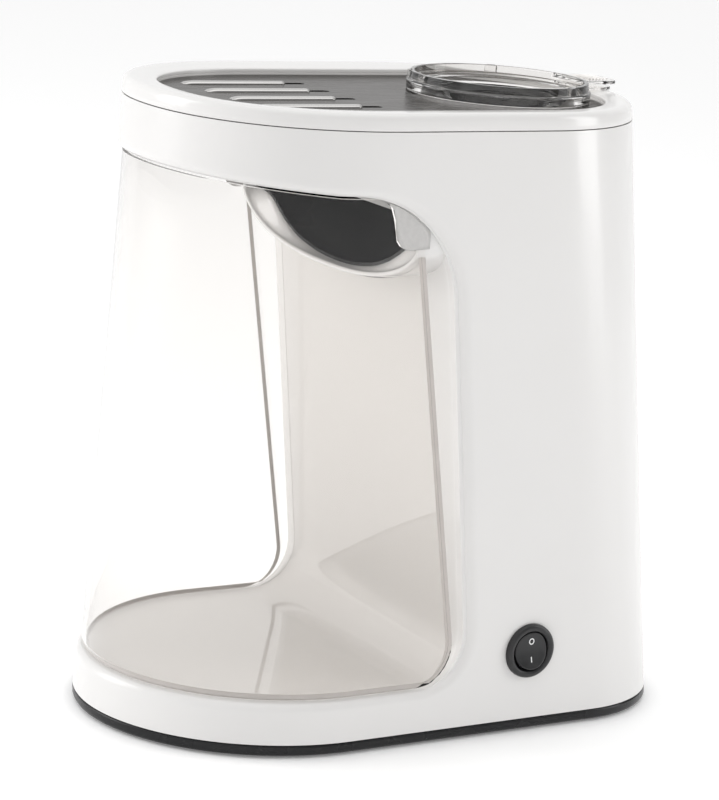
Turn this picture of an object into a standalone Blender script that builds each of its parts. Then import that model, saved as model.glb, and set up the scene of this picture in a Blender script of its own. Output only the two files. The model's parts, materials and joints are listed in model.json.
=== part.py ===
"""Hot-air popcorn maker with a clear slide-out container.

Blender 4.5 script: run it with blender --background --python part.py.
+Z is up, the front faces -Y and the switch is on the +X side. The origin is the centre
of the base outline at the level the feet stand on. Sizes are millimetres; MM turns them
into Blender's metres where vertices are made.
"""
import math

import bmesh
import bpy
from mathutils import Matrix, Vector

MM = 0.001

# Clearances
GAP = 0.3                     # between pieces that touch
SLIDE_GAP = 0.7               # under the sliding container

# Outer body: the outline changes with height, so each value is (at z = 0, at z = TOP_Z)
TOP_Z = 300.0                 # top of the lid
BODY_WIDTH = 170.7
FRONT_Y = (-147.2, -136.2)
REAR_Y = (147.2, 114.1)
NOSE_LENGTH = (93.5, 89.7)    # length of the rounded front end
NOSE_EXPONENT = (1.97, 2.17)
REAR_RADIUS = (61.5, 85.3)
REAR_EXPONENT = 2.04
WALL = 2.5
LID_SEAM_Z = TOP_Z - 8.0

# Base plate and feet
FOOT_HEIGHT = 3.3
FOOT_RADIUS = 7.0
SKIRT_Z = 1.0
BASE_TOP_Z = 6.2
BASE_FLOOR_Z = 3.6
SKIRT_WIDTH = 4.0
FOOT_POSITIONS = ((62.0, -74.0), (-62.0, -74.0), (62.0, 96.0), (-62.0, 96.0))
BASE_SCREW_X = BODY_WIDTH / 2 - 12.35
BASE_SCREW_POSITIONS = ((BASE_SCREW_X, -48.0), (-BASE_SCREW_X, -48.0),
                        (BASE_SCREW_X, 78.0), (-BASE_SCREW_X, 78.0))
BOSS_RADIUS = 5.0
BOSS_HEIGHT = 17.0
SCREW_RADIUS = 1.4
SCREW_HEAD_RADIUS = 3.0

# Container bay, drawn in the Y-Z plane and open to the front
BAY_FLOOR_Z = 26.3
BAY_CEILING_Z = TOP_Z - 37.5  # where the ceiling meets the upper radius
BAY_CEILING_RISE = 0.07       # the ceiling climbs this much per mm towards the front
BAY_BACK_Y = 2.7              # back line at z = BAY_BACK_REF_Z
BAY_BACK_REF_Z = 80.0
BAY_BACK_LEAN = -0.132        # y per mm of height
BAY_TOP_RADIUS = 55.0
BAY_BOTTOM_RADIUS = 25.0
LINER_THICKNESS = 2.0

# Container
BIN_INSET = 2.5               # behind the body's outer surface
BIN_WALL = 2.0
BIN_TOP_Z = BAY_CEILING_Z - 1.2
BIN_BACK_Y = -4.7
BIN_BACK_LEAN = -0.178
BIN_BOTTOM_RADIUS = 20.0
BIN_NOTCH_Z = TOP_Z - 62.2    # the rear corner is stepped down to this height
BIN_NOTCH_Y = BAY_BACK_Y + BAY_BACK_LEAN * (BIN_NOTCH_Z - BAY_BACK_REF_Z) - 31.57
BIN_NOTCH_RADIUS = 8.0

# Chute: a wide, shallow U that opens into the bay
SPOUT_FRONT_Y = BIN_NOTCH_Y + 12.7
SPOUT_REAR_Y = SPOUT_FRONT_Y + 22.4   # inside the bay's back wall
SPOUT_HALF_WIDTH = BODY_WIDTH / 2 - 4.35
SPOUT_BOTTOM_Z = TOP_Z - 83.0
SPOUT_RISE = 35.0
DUCT_SILL_RISE = 8.0          # the U is flatter round the chamber
SPOUT_EXPONENT = 2.2
SPOUT_WALL = 2.6
DUCT_FRONT_Y = SPOUT_FRONT_Y + 5.0
DUCT_WALL = 2.0
DUCT_TOP_Z = TOP_Z - 10.5
BIN_SPOUT_CLEARANCE = 3.0

# Column that holds the heater, on one vertical axis behind the liner
SHROUD_RADIUS = 47.0
AXIS_Y = BAY_BACK_Y + LINER_THICKNESS + SHROUD_RADIUS + 3.3
CRADLE_PLATE_Z = 70.0
CRADLE_PLATE = 3.0
CRADLE_RADIUS = 42.0
LEG_RADIUS = 4.0
LEG_CIRCLE = 36.0
MOTOR_RADIUS = 19.0
MOTOR_BOTTOM_Z = 26.0
SHAFT_RADIUS = 2.0
SHAFT_BOTTOM_Z = 24.6
SHAFT_TOP_Z = 99.0
IMPELLER_RADIUS = 36.0
IMPELLER_Z = (77.0, 97.0)
IMPELLER_BLADES = 9
BLOWER_RADIUS = 42.0
BLOWER_TOP_Z = 104.0
SHROUD_TOP_Z = TOP_Z - 71.0
SHEET = 1.0
CHAMBER_RADIUS = 42.0
CHAMBER_BOTTOM_Z = TOP_Z - 148.0
CHAMBER_FLANGE_RADIUS = 49.0
CHAMBER_VENTS = 12
HEATER_FRAME_RADIUS = 37.0
HEATER_Z = (110.0, 144.0)
COIL_RADIUS = 39.0
COIL_TURNS = 5
COIL_WIRE = 0.9
GASKET_HEIGHT = 1.6
THERMOSTAT_Z = 190.0
THERMOSTAT_DEPTH = 9.0
FUSE_Z = 180.0
FUSE_RADIUS = 2.2
FUSE_HALF_LENGTH = 7.0
MOTOR_SCREW_X = 12.5
MOTOR_BUSH_HEIGHT = 6.0

# Lid, top plate and dosing cup
LID_SIDE_RIM = 19.6           # width of the rim round the opening
LID_FRONT_RIM = 15.6
LID_REAR_RIM = 13.1
LID_NOSE = (78.0, 2.36)       # length and exponent of the opening's front end
LID_CORNER = 61.0
LID_EDGE_Z = TOP_Z - 1.3      # inner edge of the rim
PLATE_TOP_Z = TOP_Z - 4.4
PLATE_THICKNESS = 0.8
PLATE_LAP = 8.0               # the plate reaches this far under the rim
SLOT_X = (-36.0, -12.0, 12.0, 36.0)
SLOT_Y = (-98.0, -33.0)
SLOT_WIDTH = 4.6
CUP_RADIUS = 43.5
CUP_RING_RADIUS = 44.8        # lower, wider ring that stands on the plate
CUP_STEP_Z = TOP_Z + 1.0
CUP_RIM_Z = TOP_Z + 5.2
CUP_BODY_RADIUS = 39.5
CUP_BOTTOM_Z = TOP_Z - 16.0
CUP_WALL = 1.8
CUP_TAB_HALF_WIDTH = 13.0
CUP_TAB_REAR_Y = 119.5

# Switch on the +X side
SWITCH_Y = 43.3
SWITCH_Z = 41.3
BEZEL_RADIUS = 13.5
BEZEL_PROUD = 2.6
SWITCH_BARREL_RADIUS = 10.6
SWITCH_DEPTH = 19.0
TERMINAL_Z = 5.0              # terminals above and below the switch's centre
TERMINAL_REACH = 8.0          # behind the switch body
ROCKER_RADIUS = 9.1
ROCKER_BORE = 9.7
ROCKER_DISH = 30.0            # radius of the rocker's hollow face
ROCKER_EDGE = 3.2             # the level rocker's ends stand this far out
ROCKER_TILT = 8.0             # degrees either side of level

# Cord inlet and rear air inlet
GLAND_X = -13.0
GLAND_Z = 22.0
GLAND_RADIUS = 6.0
CORD_RADIUS = 3.3
LOUVRE_Z = (64.0, 73.0, 82.0, 91.0, 100.0)
LOUVRE_X = (7.0, 31.0)
LOUVRE_HEIGHT = 3.2
WIRE_RADIUS = 1.1

NOSE_STEPS = 28
CORNER_STEPS = 7
ROUND_STEPS = 24


# ---------------------------------------------------------------- scene and materials

for old in list(bpy.data.objects):
    bpy.data.objects.remove(old, do_unlink=True)

PARTS = bpy.data.collections.new("popcorn_maker")
CUTTERS = bpy.data.collections.new("cutters")
bpy.context.scene.collection.children.link(PARTS)
bpy.context.scene.collection.children.link(CUTTERS)


def material(name, colour, roughness, metallic=0.0, alpha=1.0):
    made = bpy.data.materials.new(name)
    made.use_nodes = True
    shader = made.node_tree.nodes["Principled BSDF"]
    shader.inputs["Base Color"].default_value = (*colour, 1.0)
    shader.inputs["Roughness"].default_value = roughness
    shader.inputs["Metallic"].default_value = metallic
    shader.inputs["Alpha"].default_value = alpha
    return made


WHITE = ((0.86, 0.86, 0.87), 0.22)
BLACK = ((0.02, 0.02, 0.022), 0.45)
GREY = ((0.35, 0.36, 0.38), 0.5)
CLEAR = ((0.9, 0.9, 0.88), 0.05, 0.0, 0.3)
STEEL = ((0.62, 0.61, 0.6), 0.25, 1.0)
ALUMINIUM = ((0.75, 0.75, 0.77), 0.35, 1.0)
BRASS = ((0.72, 0.55, 0.25), 0.3, 1.0)
MICA = ((0.62, 0.56, 0.45), 0.6)
BOARD = ((0.1, 0.32, 0.16), 0.5)
SILICONE = ((0.06, 0.06, 0.06), 0.7)
WIRE_BROWN = ((0.22, 0.1, 0.05), 0.5)
WIRE_BLUE = ((0.05, 0.15, 0.5), 0.5)


# ---------------------------------------------------------------- modelling helpers

def add(name, mesh_maker, look=None, origin=(0.0, 0.0, 0.0)):
    """Make an object from a bmesh function that works in millimetres about origin."""
    bm = bmesh.new()
    mesh_maker(bm)
    bmesh.ops.scale(bm, vec=(MM, MM, MM), verts=bm.verts)
    mesh = bpy.data.meshes.new(name)
    bm.to_mesh(mesh)
    bm.free()
    made = bpy.data.objects.new(name, mesh)
    made.location = Vector(origin) * MM
    if look is None:
        CUTTERS.objects.link(made)
        made.hide_render = True
        made.display_type = "WIRE"
    else:
        PARTS.objects.link(made)
        mesh.materials.append(material(name, *look))
    return made


def boolean(target, cutter, operation="DIFFERENCE"):
    step = target.modifiers.new(cutter.name, "BOOLEAN")
    step.operation = operation
    step.solver = "EXACT"
    step.object = cutter
    return target


def smooth(target, angle=35.0):
    target.data.shade_smooth()
    target.data.set_sharp_from_angle(angle=math.radians(angle))
    return target


def loft(bm, sections, caps=True):
    """Skin a run of closed sections that have the same number of points, with flat triangles."""
    rings = [[bm.verts.new(point) for point in section] for section in sections]
    count = len(rings[0])
    for low, high in zip(rings, rings[1:]):
        for i in range(count):
            j = (i + 1) % count
            bm.faces.new((low[i], low[j], high[j], high[i]))
    bmesh.ops.triangulate(bm, faces=bm.faces, quad_method="FIXED")
    if caps:
        bm.faces.new(rings[0][::-1])
        bm.faces.new(rings[-1])
    bmesh.ops.recalc_face_normals(bm, faces=bm.faces)


def prism(bm, outline, vector):
    """Extrude a flat closed outline along vector."""
    face = bm.faces.new([bm.verts.new(point) for point in outline])
    out = bmesh.ops.extrude_face_region(bm, geom=[face])
    moved = [item for item in out["geom"] if isinstance(item, bmesh.types.BMVert)]
    bmesh.ops.translate(bm, vec=vector, verts=moved)
    bmesh.ops.recalc_face_normals(bm, faces=bm.faces)


def block(bm, low, high, turn=Matrix.Identity(4)):
    low, high = Vector(low), Vector(high)
    size = Matrix.Diagonal((*(high - low), 1.0))
    bmesh.ops.create_cube(bm, size=1.0, matrix=Matrix.Translation((low + high) / 2) @ turn @ size)


def rod(bm, radius, start, end, steps=ROUND_STEPS, top_radius=None):
    """Cylinder or cone between two points."""
    start, end = Vector(start), Vector(end)
    along = end - start
    turn = along.to_track_quat("Z", "Y").to_matrix().to_4x4()
    bmesh.ops.create_cone(bm, cap_ends=True, segments=steps, radius1=radius,
                          radius2=radius if top_radius is None else top_radius,
                          depth=along.length, matrix=Matrix.Translation((start + end) / 2) @ turn)


def turned(name, profile, look, origin, steps=ROUND_STEPS, axis="Z"):
    """Closed profile of (radius, height), outer side running down, turned about an axis."""
    def outline(bm):
        ring = [bm.verts.new((r, 0.0, h)) for r, h in profile]
        for a, b in zip(ring, ring[1:] + ring[:1]):
            if a.co.x > 1e-6 or b.co.x > 1e-6:
                bm.edges.new((a, b))
    made = add(name, outline, look, origin)
    screw = made.modifiers.new("turn", "SCREW")
    screw.axis = "Z"
    screw.steps = steps
    screw.render_steps = steps
    screw.use_merge_vertices = True
    screw.merge_threshold = 0.00001
    screw.use_smooth_shade = False
    if axis == "X":
        made.rotation_euler = (0.0, math.pi / 2, 0.0)
    return made


def tube(name, points, radius, look, origin=(0.0, 0.0, 0.0)):
    """Wire along a poly spline."""
    curve = bpy.data.curves.new(name, "CURVE")
    curve.dimensions = "3D"
    curve.bevel_depth = radius * MM
    curve.bevel_resolution = 2
    curve.use_fill_caps = True
    spline = curve.splines.new("POLY")
    spline.points.add(len(points) - 1)
    for point, place in zip(spline.points, points):
        point.co = (*(Vector(place) * MM), 1.0)
    curve.materials.append(material(name, *look))
    made = bpy.data.objects.new(name, curve)
    made.location = Vector(origin) * MM
    PARTS.objects.link(made)
    return made


def mix(pair, z):
    return pair[0] + (pair[1] - pair[0]) * z / TOP_Z


def arc(centre, radius, start, end, steps):
    """Points on an arc, angles in degrees."""
    angles = [math.radians(start + (end - start) * i / steps) for i in range(steps + 1)]
    return [(centre[0] + radius * math.cos(a), centre[1] + radius * math.sin(a)) for a in angles]


def bent(value, exponent):
    return math.copysign(abs(value) ** (2.0 / exponent), value)


# ---------------------------------------------------------------- shared shapes

def outline_at(half_width, front_y, rear_y, nose, nose_exponent, radius, z):
    """Closed plan outline, counter-clockwise: two rear corners, then the rounded front."""
    points = []
    for side, steps in ((1, range(CORNER_STEPS + 1)), (-1, range(CORNER_STEPS, -1, -1))):
        for i in steps:
            a = math.pi / 2 * i / CORNER_STEPS
            x = half_width - radius + radius * bent(math.cos(a), REAR_EXPONENT)
            y = rear_y - radius + radius * bent(math.sin(a), REAR_EXPONENT)
            if side > 0 or x > 1e-4:
                points.append((side * x, y, z))
    for i in range(NOSE_STEPS + 1):
        a = math.pi * i / NOSE_STEPS
        x = -half_width * bent(math.cos(a), nose_exponent)
        y = front_y + nose - nose * bent(math.sin(a), nose_exponent)
        points.append((x, y, z))
    return points


def body_outline(z, inset=0.0):
    return outline_at(BODY_WIDTH / 2 - inset, mix(FRONT_Y, z) + inset, mix(REAR_Y, z) - inset,
                      mix(NOSE_LENGTH, z) - inset, mix(NOSE_EXPONENT, z),
                      mix(REAR_RADIUS, z) - inset, z)


def body_levels(low, high, steps=4):
    return [low + (high - low) * i / steps for i in range(steps + 1)]


def body_block(name, low, high, inset, steps=4):
    """Solid of the body's shape between two heights, used to cut or bound a piece."""
    return add(name, lambda bm: loft(bm, [body_outline(z, inset) for z in body_levels(low, high, steps)]))


def profile_line(back_y, lean, z):
    return back_y + lean * (z - BAY_BACK_REF_Z)


def corner_arc(floor_z, back_y, lean, radius, top, steps):
    """Fillet between a level line and the leaning back line, in Y-Z."""
    tilt = math.degrees(math.atan(-lean))
    sign = -1.0 if top else 1.0
    centre_z = floor_z + sign * radius
    offset = radius / math.cos(math.radians(tilt))
    centre = (profile_line(back_y, lean, centre_z) - offset, centre_z)
    if top:
        return arc(centre, radius, tilt, 90.0, steps)
    return arc(centre, radius, -90.0, tilt, steps)


def ceiling_start():
    """Where the level ceiling ends and its climb to the front begins."""
    return profile_line(BAY_BACK_Y, BAY_BACK_LEAN, BAY_CEILING_Z) - BAY_TOP_RADIUS


def ceiling_z(y, out=0.0):
    return BAY_CEILING_Z + out + BAY_CEILING_RISE * max(ceiling_start() - y, 0.0)


def bay_profile(out=0.0, front_y=-200.0):
    """Bay outline in Y-Z from the floor's front round to the ceiling's front."""
    lower = corner_arc(BAY_FLOOR_Z - out, BAY_BACK_Y + out, BAY_BACK_LEAN,
                       BAY_BOTTOM_RADIUS + out, False, 8)
    upper = corner_arc(BAY_CEILING_Z + out, BAY_BACK_Y + out, BAY_BACK_LEAN,
                       BAY_TOP_RADIUS + out, True, 12)
    bend = (ceiling_start(), BAY_CEILING_Z + out)
    return [(front_y, BAY_FLOOR_Z - out)] + lower + upper + [bend, (front_y, ceiling_z(front_y, out))]


def bin_profile(inset=0.0, open_top=False, front_y=-200.0):
    """Container side view, rear edge with its stepped top corner."""
    floor = BAY_FLOOR_Z + SLIDE_GAP + inset
    lower = corner_arc(floor, BIN_BACK_Y - inset, BIN_BACK_LEAN, BIN_BOTTOM_RADIUS - inset, False, 6)
    lower = [(front_y, floor)] + lower
    if open_top:
        return lower + [(profile_line(BIN_BACK_Y - inset, BIN_BACK_LEAN, TOP_Z), TOP_Z), (front_y, TOP_Z)]
    back_top = (profile_line(BIN_BACK_Y, BIN_BACK_LEAN, BIN_NOTCH_Z), BIN_NOTCH_Z)
    radius = BIN_NOTCH_RADIUS
    step = arc((BIN_NOTCH_Y + radius, BIN_NOTCH_Z + radius), radius, 270.0, 180.0, 5)
    rise = [(BIN_NOTCH_Y - 1.0, BIN_TOP_Z - 6.0), (BIN_NOTCH_Y - 10.0, BIN_TOP_Z)]
    below = BAY_CEILING_Z - BIN_TOP_Z
    bend = (ceiling_start(), BIN_TOP_Z)
    return lower + [back_top] + step + rise + [bend, (front_y, ceiling_z(front_y) - below)]


def side_prism(name, outline, half_width, look=None):
    """Y-Z outline extruded across the body."""
    points = [(-half_width, y, z) for y, z in outline]
    return add(name, lambda bm: prism(bm, points, (2 * half_width, 0.0, 0.0)), look)


def chute_section(y, inset, half_width=SPOUT_HALF_WIDTH, lift=0.0, top=DUCT_TOP_Z,
                  rise=SPOUT_RISE, steps=24):
    """Shallow U in X-Z, closed across its top."""
    wide = half_width - inset
    bottom = SPOUT_BOTTOM_Z + lift + inset
    points = []
    for i in range(steps + 1):
        a = math.pi * i / steps
        x = -wide * bent(math.cos(a), SPOUT_EXPONENT)
        z = bottom + rise * (1.0 - bent(math.sin(a), SPOUT_EXPONENT))
        points.append((x, y, z))
    return points + [(wide, y, top - inset), (-wide, y, top - inset)]


def duct_block(name, inset, front_y, look=None):
    """Chute body: wide at the mouth, narrowing round the chamber, its floor climbing to a sill."""
    radius = CHAMBER_FLANGE_RADIUS + 3.0
    mouth = SPOUT_HALF_WIDTH - SPOUT_WALL - GAP

    def width(y):
        if y <= AXIS_Y:
            t = max(0.0, (y - DUCT_FRONT_Y) / (AXIS_Y - DUCT_FRONT_Y))
            return mouth + (radius - mouth) * (3 * t * t - 2 * t ** 3)
        return math.sqrt(max(radius ** 2 - (y - AXIS_Y) ** 2, 1.0))
    sill_y = AXIS_Y - CHAMBER_FLANGE_RADIUS - 1.0
    levels = [front_y] if front_y < DUCT_FRONT_Y else []
    levels += [DUCT_FRONT_Y + s * (sill_y - DUCT_FRONT_Y) / 4 for s in range(4)]
    levels += [sill_y + s * (AXIS_Y - sill_y) / 3 for s in range(4)]
    levels += [AXIS_Y + radius * math.sin(math.radians(a)) for a in (15, 30, 45, 60, 75)]
    rim = SHROUD_TOP_Z + SHEET + 2 * GAP + GASKET_HEIGHT + GAP
    climb = rim - SPOUT_BOTTOM_Z - SPOUT_WALL - GAP

    def section(y, end):
        reach = max(y - DUCT_FRONT_Y, 0.0) / (sill_y - DUCT_FRONT_Y)
        lift = SPOUT_WALL + GAP + climb * min(reach, 1.0)
        place = y if not end else y - inset
        rise = SPOUT_RISE + (DUCT_SILL_RISE - SPOUT_RISE) * min(reach, 1.0)
        return chute_section(place, inset, width(y), lift, rise=rise)
    return add(name, lambda bm: loft(bm, [section(y, y == levels[-1]) for y in levels]), look)


# ---------------------------------------------------------------- base

def foot_and_base():
    base = add("base_plate", lambda bm: loft(
        bm, [body_outline(SKIRT_Z, 0.8), body_outline(SKIRT_Z + 1.0), body_outline(BASE_TOP_Z)]), BLACK)
    boolean(base, body_block("base_pocket", -1.0, BASE_FLOOR_Z, SKIRT_WIDTH, 1))
    boolean(base, add("base_screw_holes", lambda bm: [
        rod(bm, SCREW_RADIUS + GAP, (x, y, 0.0), (x, y, 10.0), 16) for x, y in BASE_SCREW_POSITIONS]))

    def grille(bm):
        for x in range(-30, 31, 12):
            half = math.sqrt(36.0 ** 2 - x * x)
            block(bm, (x - 2.2, AXIS_Y - half, 0.0), (x + 2.2, AXIS_Y + half, 10.0))
    boolean(base, add("base_grille_slots", grille))
    for index, (x, y) in enumerate(FOOT_POSITIONS, 1):
        add(f"foot_{index}", lambda bm: rod(
            bm, FOOT_RADIUS - 0.6, (0, 0, 0), (0, 0, FOOT_HEIGHT), 20, FOOT_RADIUS), BLACK, (x, y, 0.0))
    for index, (x, y) in enumerate(BASE_SCREW_POSITIONS, 1):
        head = BASE_FLOOR_Z - GAP
        turned(f"base_screw_{index}", [
            (0.0, head + BOSS_HEIGHT - 4.0), (SCREW_RADIUS, head + BOSS_HEIGHT - 5.0),
            (SCREW_RADIUS, head), (SCREW_HEAD_RADIUS, head), (SCREW_HEAD_RADIUS, head - 1.2),
            (SCREW_HEAD_RADIUS - 0.8, head - 1.9), (0.0, head - 1.9)],
            STEEL, (x, y, 0.0), 12)


# ---------------------------------------------------------------- housing, liner and lid

def housing():
    low, high = BASE_TOP_Z + 2 * GAP, LID_SEAM_Z - GAP
    bay = side_prism("bay_cutter", bay_profile(0.0, -200.0), 120.0)

    def louvres(bm):
        for z in LOUVRE_Z:
            for side in (-1, 1):
                x0, x1 = sorted((side * LOUVRE_X[0], side * LOUVRE_X[1]))
                block(bm, (x0, 100.0, z), (x1, 160.0, z + LOUVRE_HEIGHT))
    inlet = add("louvre_cutters", louvres)
    face = BODY_WIDTH / 2
    switch_hole = add("switch_hole", lambda bm: rod(
        bm, SWITCH_BARREL_RADIUS + GAP, (face - 15.0, SWITCH_Y, SWITCH_Z), (face + 10.0, SWITCH_Y, SWITCH_Z)))
    gland_hole = add("gland_hole", lambda bm: rod(
        bm, GLAND_RADIUS + GAP, (GLAND_X, 130.0, GLAND_Z), (GLAND_X, 160.0, GLAND_Z), 24))
    pilots = add("boss_pilots", lambda bm: [
        rod(bm, SCREW_RADIUS + GAP, (x, y, 0.0), (x, y, BOSS_HEIGHT), 16)
        for x, y in BASE_SCREW_POSITIONS])
    for name, side in (("housing_right", 1), ("housing_left", -1)):
        shell = add(name, lambda bm: loft(
            bm, [body_outline(z) for z in body_levels(low, high)], caps=False), WHITE)
        solid = shell.modifiers.new("wall", "SOLIDIFY")
        solid.thickness = WALL * MM
        solid.offset = -1.0
        solid.use_even_offset = True
        for x, y in BASE_SCREW_POSITIONS:
            if x * side > 0:
                inner, outer = x - side * BOSS_RADIUS, side * (BODY_WIDTH / 2 - 1.0)
                boss = add(f"{name}_boss_{'front' if y < 0 else 'rear'}", lambda bm: block(
                    bm, (min(inner, outer), y - BOSS_RADIUS, low),
                    (max(inner, outer), y + BOSS_RADIUS, low + BOSS_HEIGHT)))
                boolean(shell, boss, "UNION")
        boolean(shell, pilots)
        boolean(shell, bay)
        boolean(shell, inlet)
        boolean(shell, switch_hole if side > 0 else gland_hole)
        half = add(f"{name}_split", lambda bm: block(
            bm, (-120.0 if side > 0 else -GAP / 2, -200.0, -20.0),
            (GAP / 2 if side > 0 else 120.0, 200.0, TOP_Z + 40.0)))
        boolean(shell, half)
        smooth(shell)


def bay_liner():
    """Floor, back wall and ceiling of the bay, with the white spout and steam slots."""
    band = bay_profile(0.0, -160.0) + bay_profile(LINER_THICKNESS, -160.0)[::-1]
    half = BODY_WIDTH / 2 - WALL - GAP
    liner = side_prism("bay_liner", band, half, WHITE)
    spout = add("spout_block", lambda bm: loft(bm, [
        chute_section(y, 0.0, top=BAY_CEILING_Z + 1.0) for y in (SPOUT_FRONT_Y, SPOUT_REAR_Y)]))
    boolean(liner, spout, "UNION")
    boolean(liner, body_block("liner_bounds", 0.0, TOP_Z, WALL + GAP), "INTERSECT")
    boolean(liner, duct_block("spout_bore", -1.5 * GAP, SPOUT_FRONT_Y - 5.0))

    def vents(bm):
        for x in SLOT_X:
            block(bm, (x - SLOT_WIDTH / 2, SLOT_Y[0], BAY_CEILING_Z - 2.0),
                  (x + SLOT_WIDTH / 2, -72.0, BAY_CEILING_Z + 12.0))
    boolean(liner, add("ceiling_slots", vents))
    smooth(liner)


def lid():
    opening = {"half_width": BODY_WIDTH / 2 - LID_SIDE_RIM, "front_y": FRONT_Y[1] + LID_FRONT_RIM,
               "rear_y": REAR_Y[1] - LID_REAR_RIM, "nose": LID_NOSE[0],
               "nose_exponent": LID_NOSE[1], "radius": LID_CORNER}

    def grown(z, out):
        same = {**opening, "half_width": opening["half_width"] + out,
                "front_y": opening["front_y"] - out, "rear_y": opening["rear_y"] + out,
                "nose": opening["nose"] + out, "radius": opening["radius"] + out}
        return outline_at(z=z, **same)

    def ring(bm):
        outer = [body_outline(LID_SEAM_Z), body_outline(TOP_Z - 1.6)]
        top = [body_outline(TOP_Z, 1.6), grown(LID_EDGE_Z + 0.3, 0.6), grown(LID_EDGE_Z - 0.6, 0.0)]
        under = [grown(PLATE_TOP_Z + GAP, 0.0), grown(PLATE_TOP_Z + GAP, PLATE_LAP + GAP),
                 grown(LID_SEAM_Z, PLATE_LAP + GAP)]
        sections = outer + top + under
        loft(bm, sections + [sections[0]], caps=False)
        bmesh.ops.remove_doubles(bm, verts=bm.verts, dist=0.0001)
        bmesh.ops.recalc_face_normals(bm, faces=bm.faces)
    smooth(add("lid_ring", ring, WHITE))

    plate = add("top_plate", lambda bm: loft(bm, [
        grown(PLATE_TOP_Z - PLATE_THICKNESS, PLATE_LAP), grown(PLATE_TOP_Z, PLATE_LAP)]), STEEL)

    def slots(bm):
        radius = SLOT_WIDTH / 2
        for x in SLOT_X:
            ends = [(x + dx, y) for dx, y in arc((0.0, SLOT_Y[0] + radius), radius, 180.0, 360.0, 6)]
            ends += [(x + dx, y) for dx, y in arc((0.0, SLOT_Y[1] - radius), radius, 0.0, 180.0, 6)]
            prism(bm, [(px, py, PLATE_TOP_Z - 5.0) for px, py in ends], (0.0, 0.0, 10.0))
    boolean(plate, add("plate_slots", slots))
    boolean(plate, add("plate_cup_hole", lambda bm: rod(
        bm, CUP_BODY_RADIUS + GAP, (0.0, AXIS_Y, TOP_Z - 20.0), (0.0, AXIS_Y, TOP_Z + 10.0), 36)))


def dosing_cup():
    """Clear measuring cup that closes the filling hole; its tab points to the rear."""
    inner = CUP_BODY_RADIUS - CUP_WALL
    seat = PLATE_TOP_Z + GAP
    profile = [(0.0, CUP_BOTTOM_Z + CUP_WALL), (inner - 3.0, CUP_BOTTOM_Z + CUP_WALL),
               (inner, CUP_BOTTOM_Z + 5.0), (inner, CUP_STEP_Z - 1.6), (CUP_RADIUS - 2.2, CUP_STEP_Z - 0.8),
               (CUP_RADIUS - 2.0, CUP_RIM_Z), (CUP_RADIUS, CUP_RIM_Z), (CUP_RADIUS + 0.2, CUP_STEP_Z),
               (CUP_RING_RADIUS, CUP_STEP_Z - 0.4), (CUP_RING_RADIUS, seat),
               (CUP_BODY_RADIUS, seat), (CUP_BODY_RADIUS, CUP_BOTTOM_Z + 3.0),
               (CUP_BODY_RADIUS - 3.0, CUP_BOTTOM_Z), (0.0, CUP_BOTTOM_Z)]
    cup = turned("dosing_cup", profile, CLEAR, (0.0, AXIS_Y, 0.0), 36)
    half, rear = CUP_TAB_HALF_WIDTH, CUP_TAB_REAR_Y - AXIS_Y
    corner = 6.0

    def tab(bm):
        ends = arc((half - corner, rear - corner), corner, 0.0, 90.0, 5)
        right = [(half, CUP_RADIUS - 6.0)] + ends
        outline = right + [(-x, y) for x, y in right[::-1]]
        prism(bm, [(x, y + AXIS_Y, CUP_RIM_Z - 2.4) for x, y in outline], (0.0, 0.0, 2.2))
    handle = add("cup_tab", tab)
    boolean(handle, add("cup_tab_bore", lambda bm: rod(
        bm, CUP_RADIUS - 1.2, (0.0, AXIS_Y, TOP_Z - 10.0), (0.0, AXIS_Y, TOP_Z + 10.0), 36)))
    boolean(cup, handle, "UNION")
    smooth(cup)


def container():
    outer = side_prism("popcorn_container", bin_profile(), 120.0, CLEAR)
    boolean(outer, body_block("bin_bounds", 10.0, TOP_Z, BIN_INSET, 6), "INTERSECT")
    inner = side_prism("bin_hollow", bin_profile(BIN_WALL, True), 119.0)
    boolean(inner, body_block("bin_hollow_bounds", 10.0, TOP_Z, BIN_INSET + BIN_WALL, 6), "INTERSECT")
    boolean(outer, inner)
    opening = add("bin_spout_opening", lambda bm: loft(bm, [
        chute_section(y, -BIN_SPOUT_CLEARANCE)
        for y in (BIN_NOTCH_Y, 20.0)]))
    boolean(outer, opening)
    smooth(outer)


# ---------------------------------------------------------------- chute and heater column

def chute_duct():
    duct = duct_block("chute_duct", 0.0, DUCT_FRONT_Y, BLACK)
    boolean(duct, duct_block("duct_hollow", DUCT_WALL, DUCT_FRONT_Y - 5.0))
    boolean(duct, add("duct_bores", lambda bm: (
        rod(bm, CHAMBER_RADIUS, (0.0, AXIS_Y, TOP_Z - 100.0), (0.0, AXIS_Y, TOP_Z - 38.0), 28),
        rod(bm, CUP_BODY_RADIUS + 1.5, (0.0, AXIS_Y, TOP_Z - 28.0), (0.0, AXIS_Y, TOP_Z + 20.0), 28))))
    smooth(duct)


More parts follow.
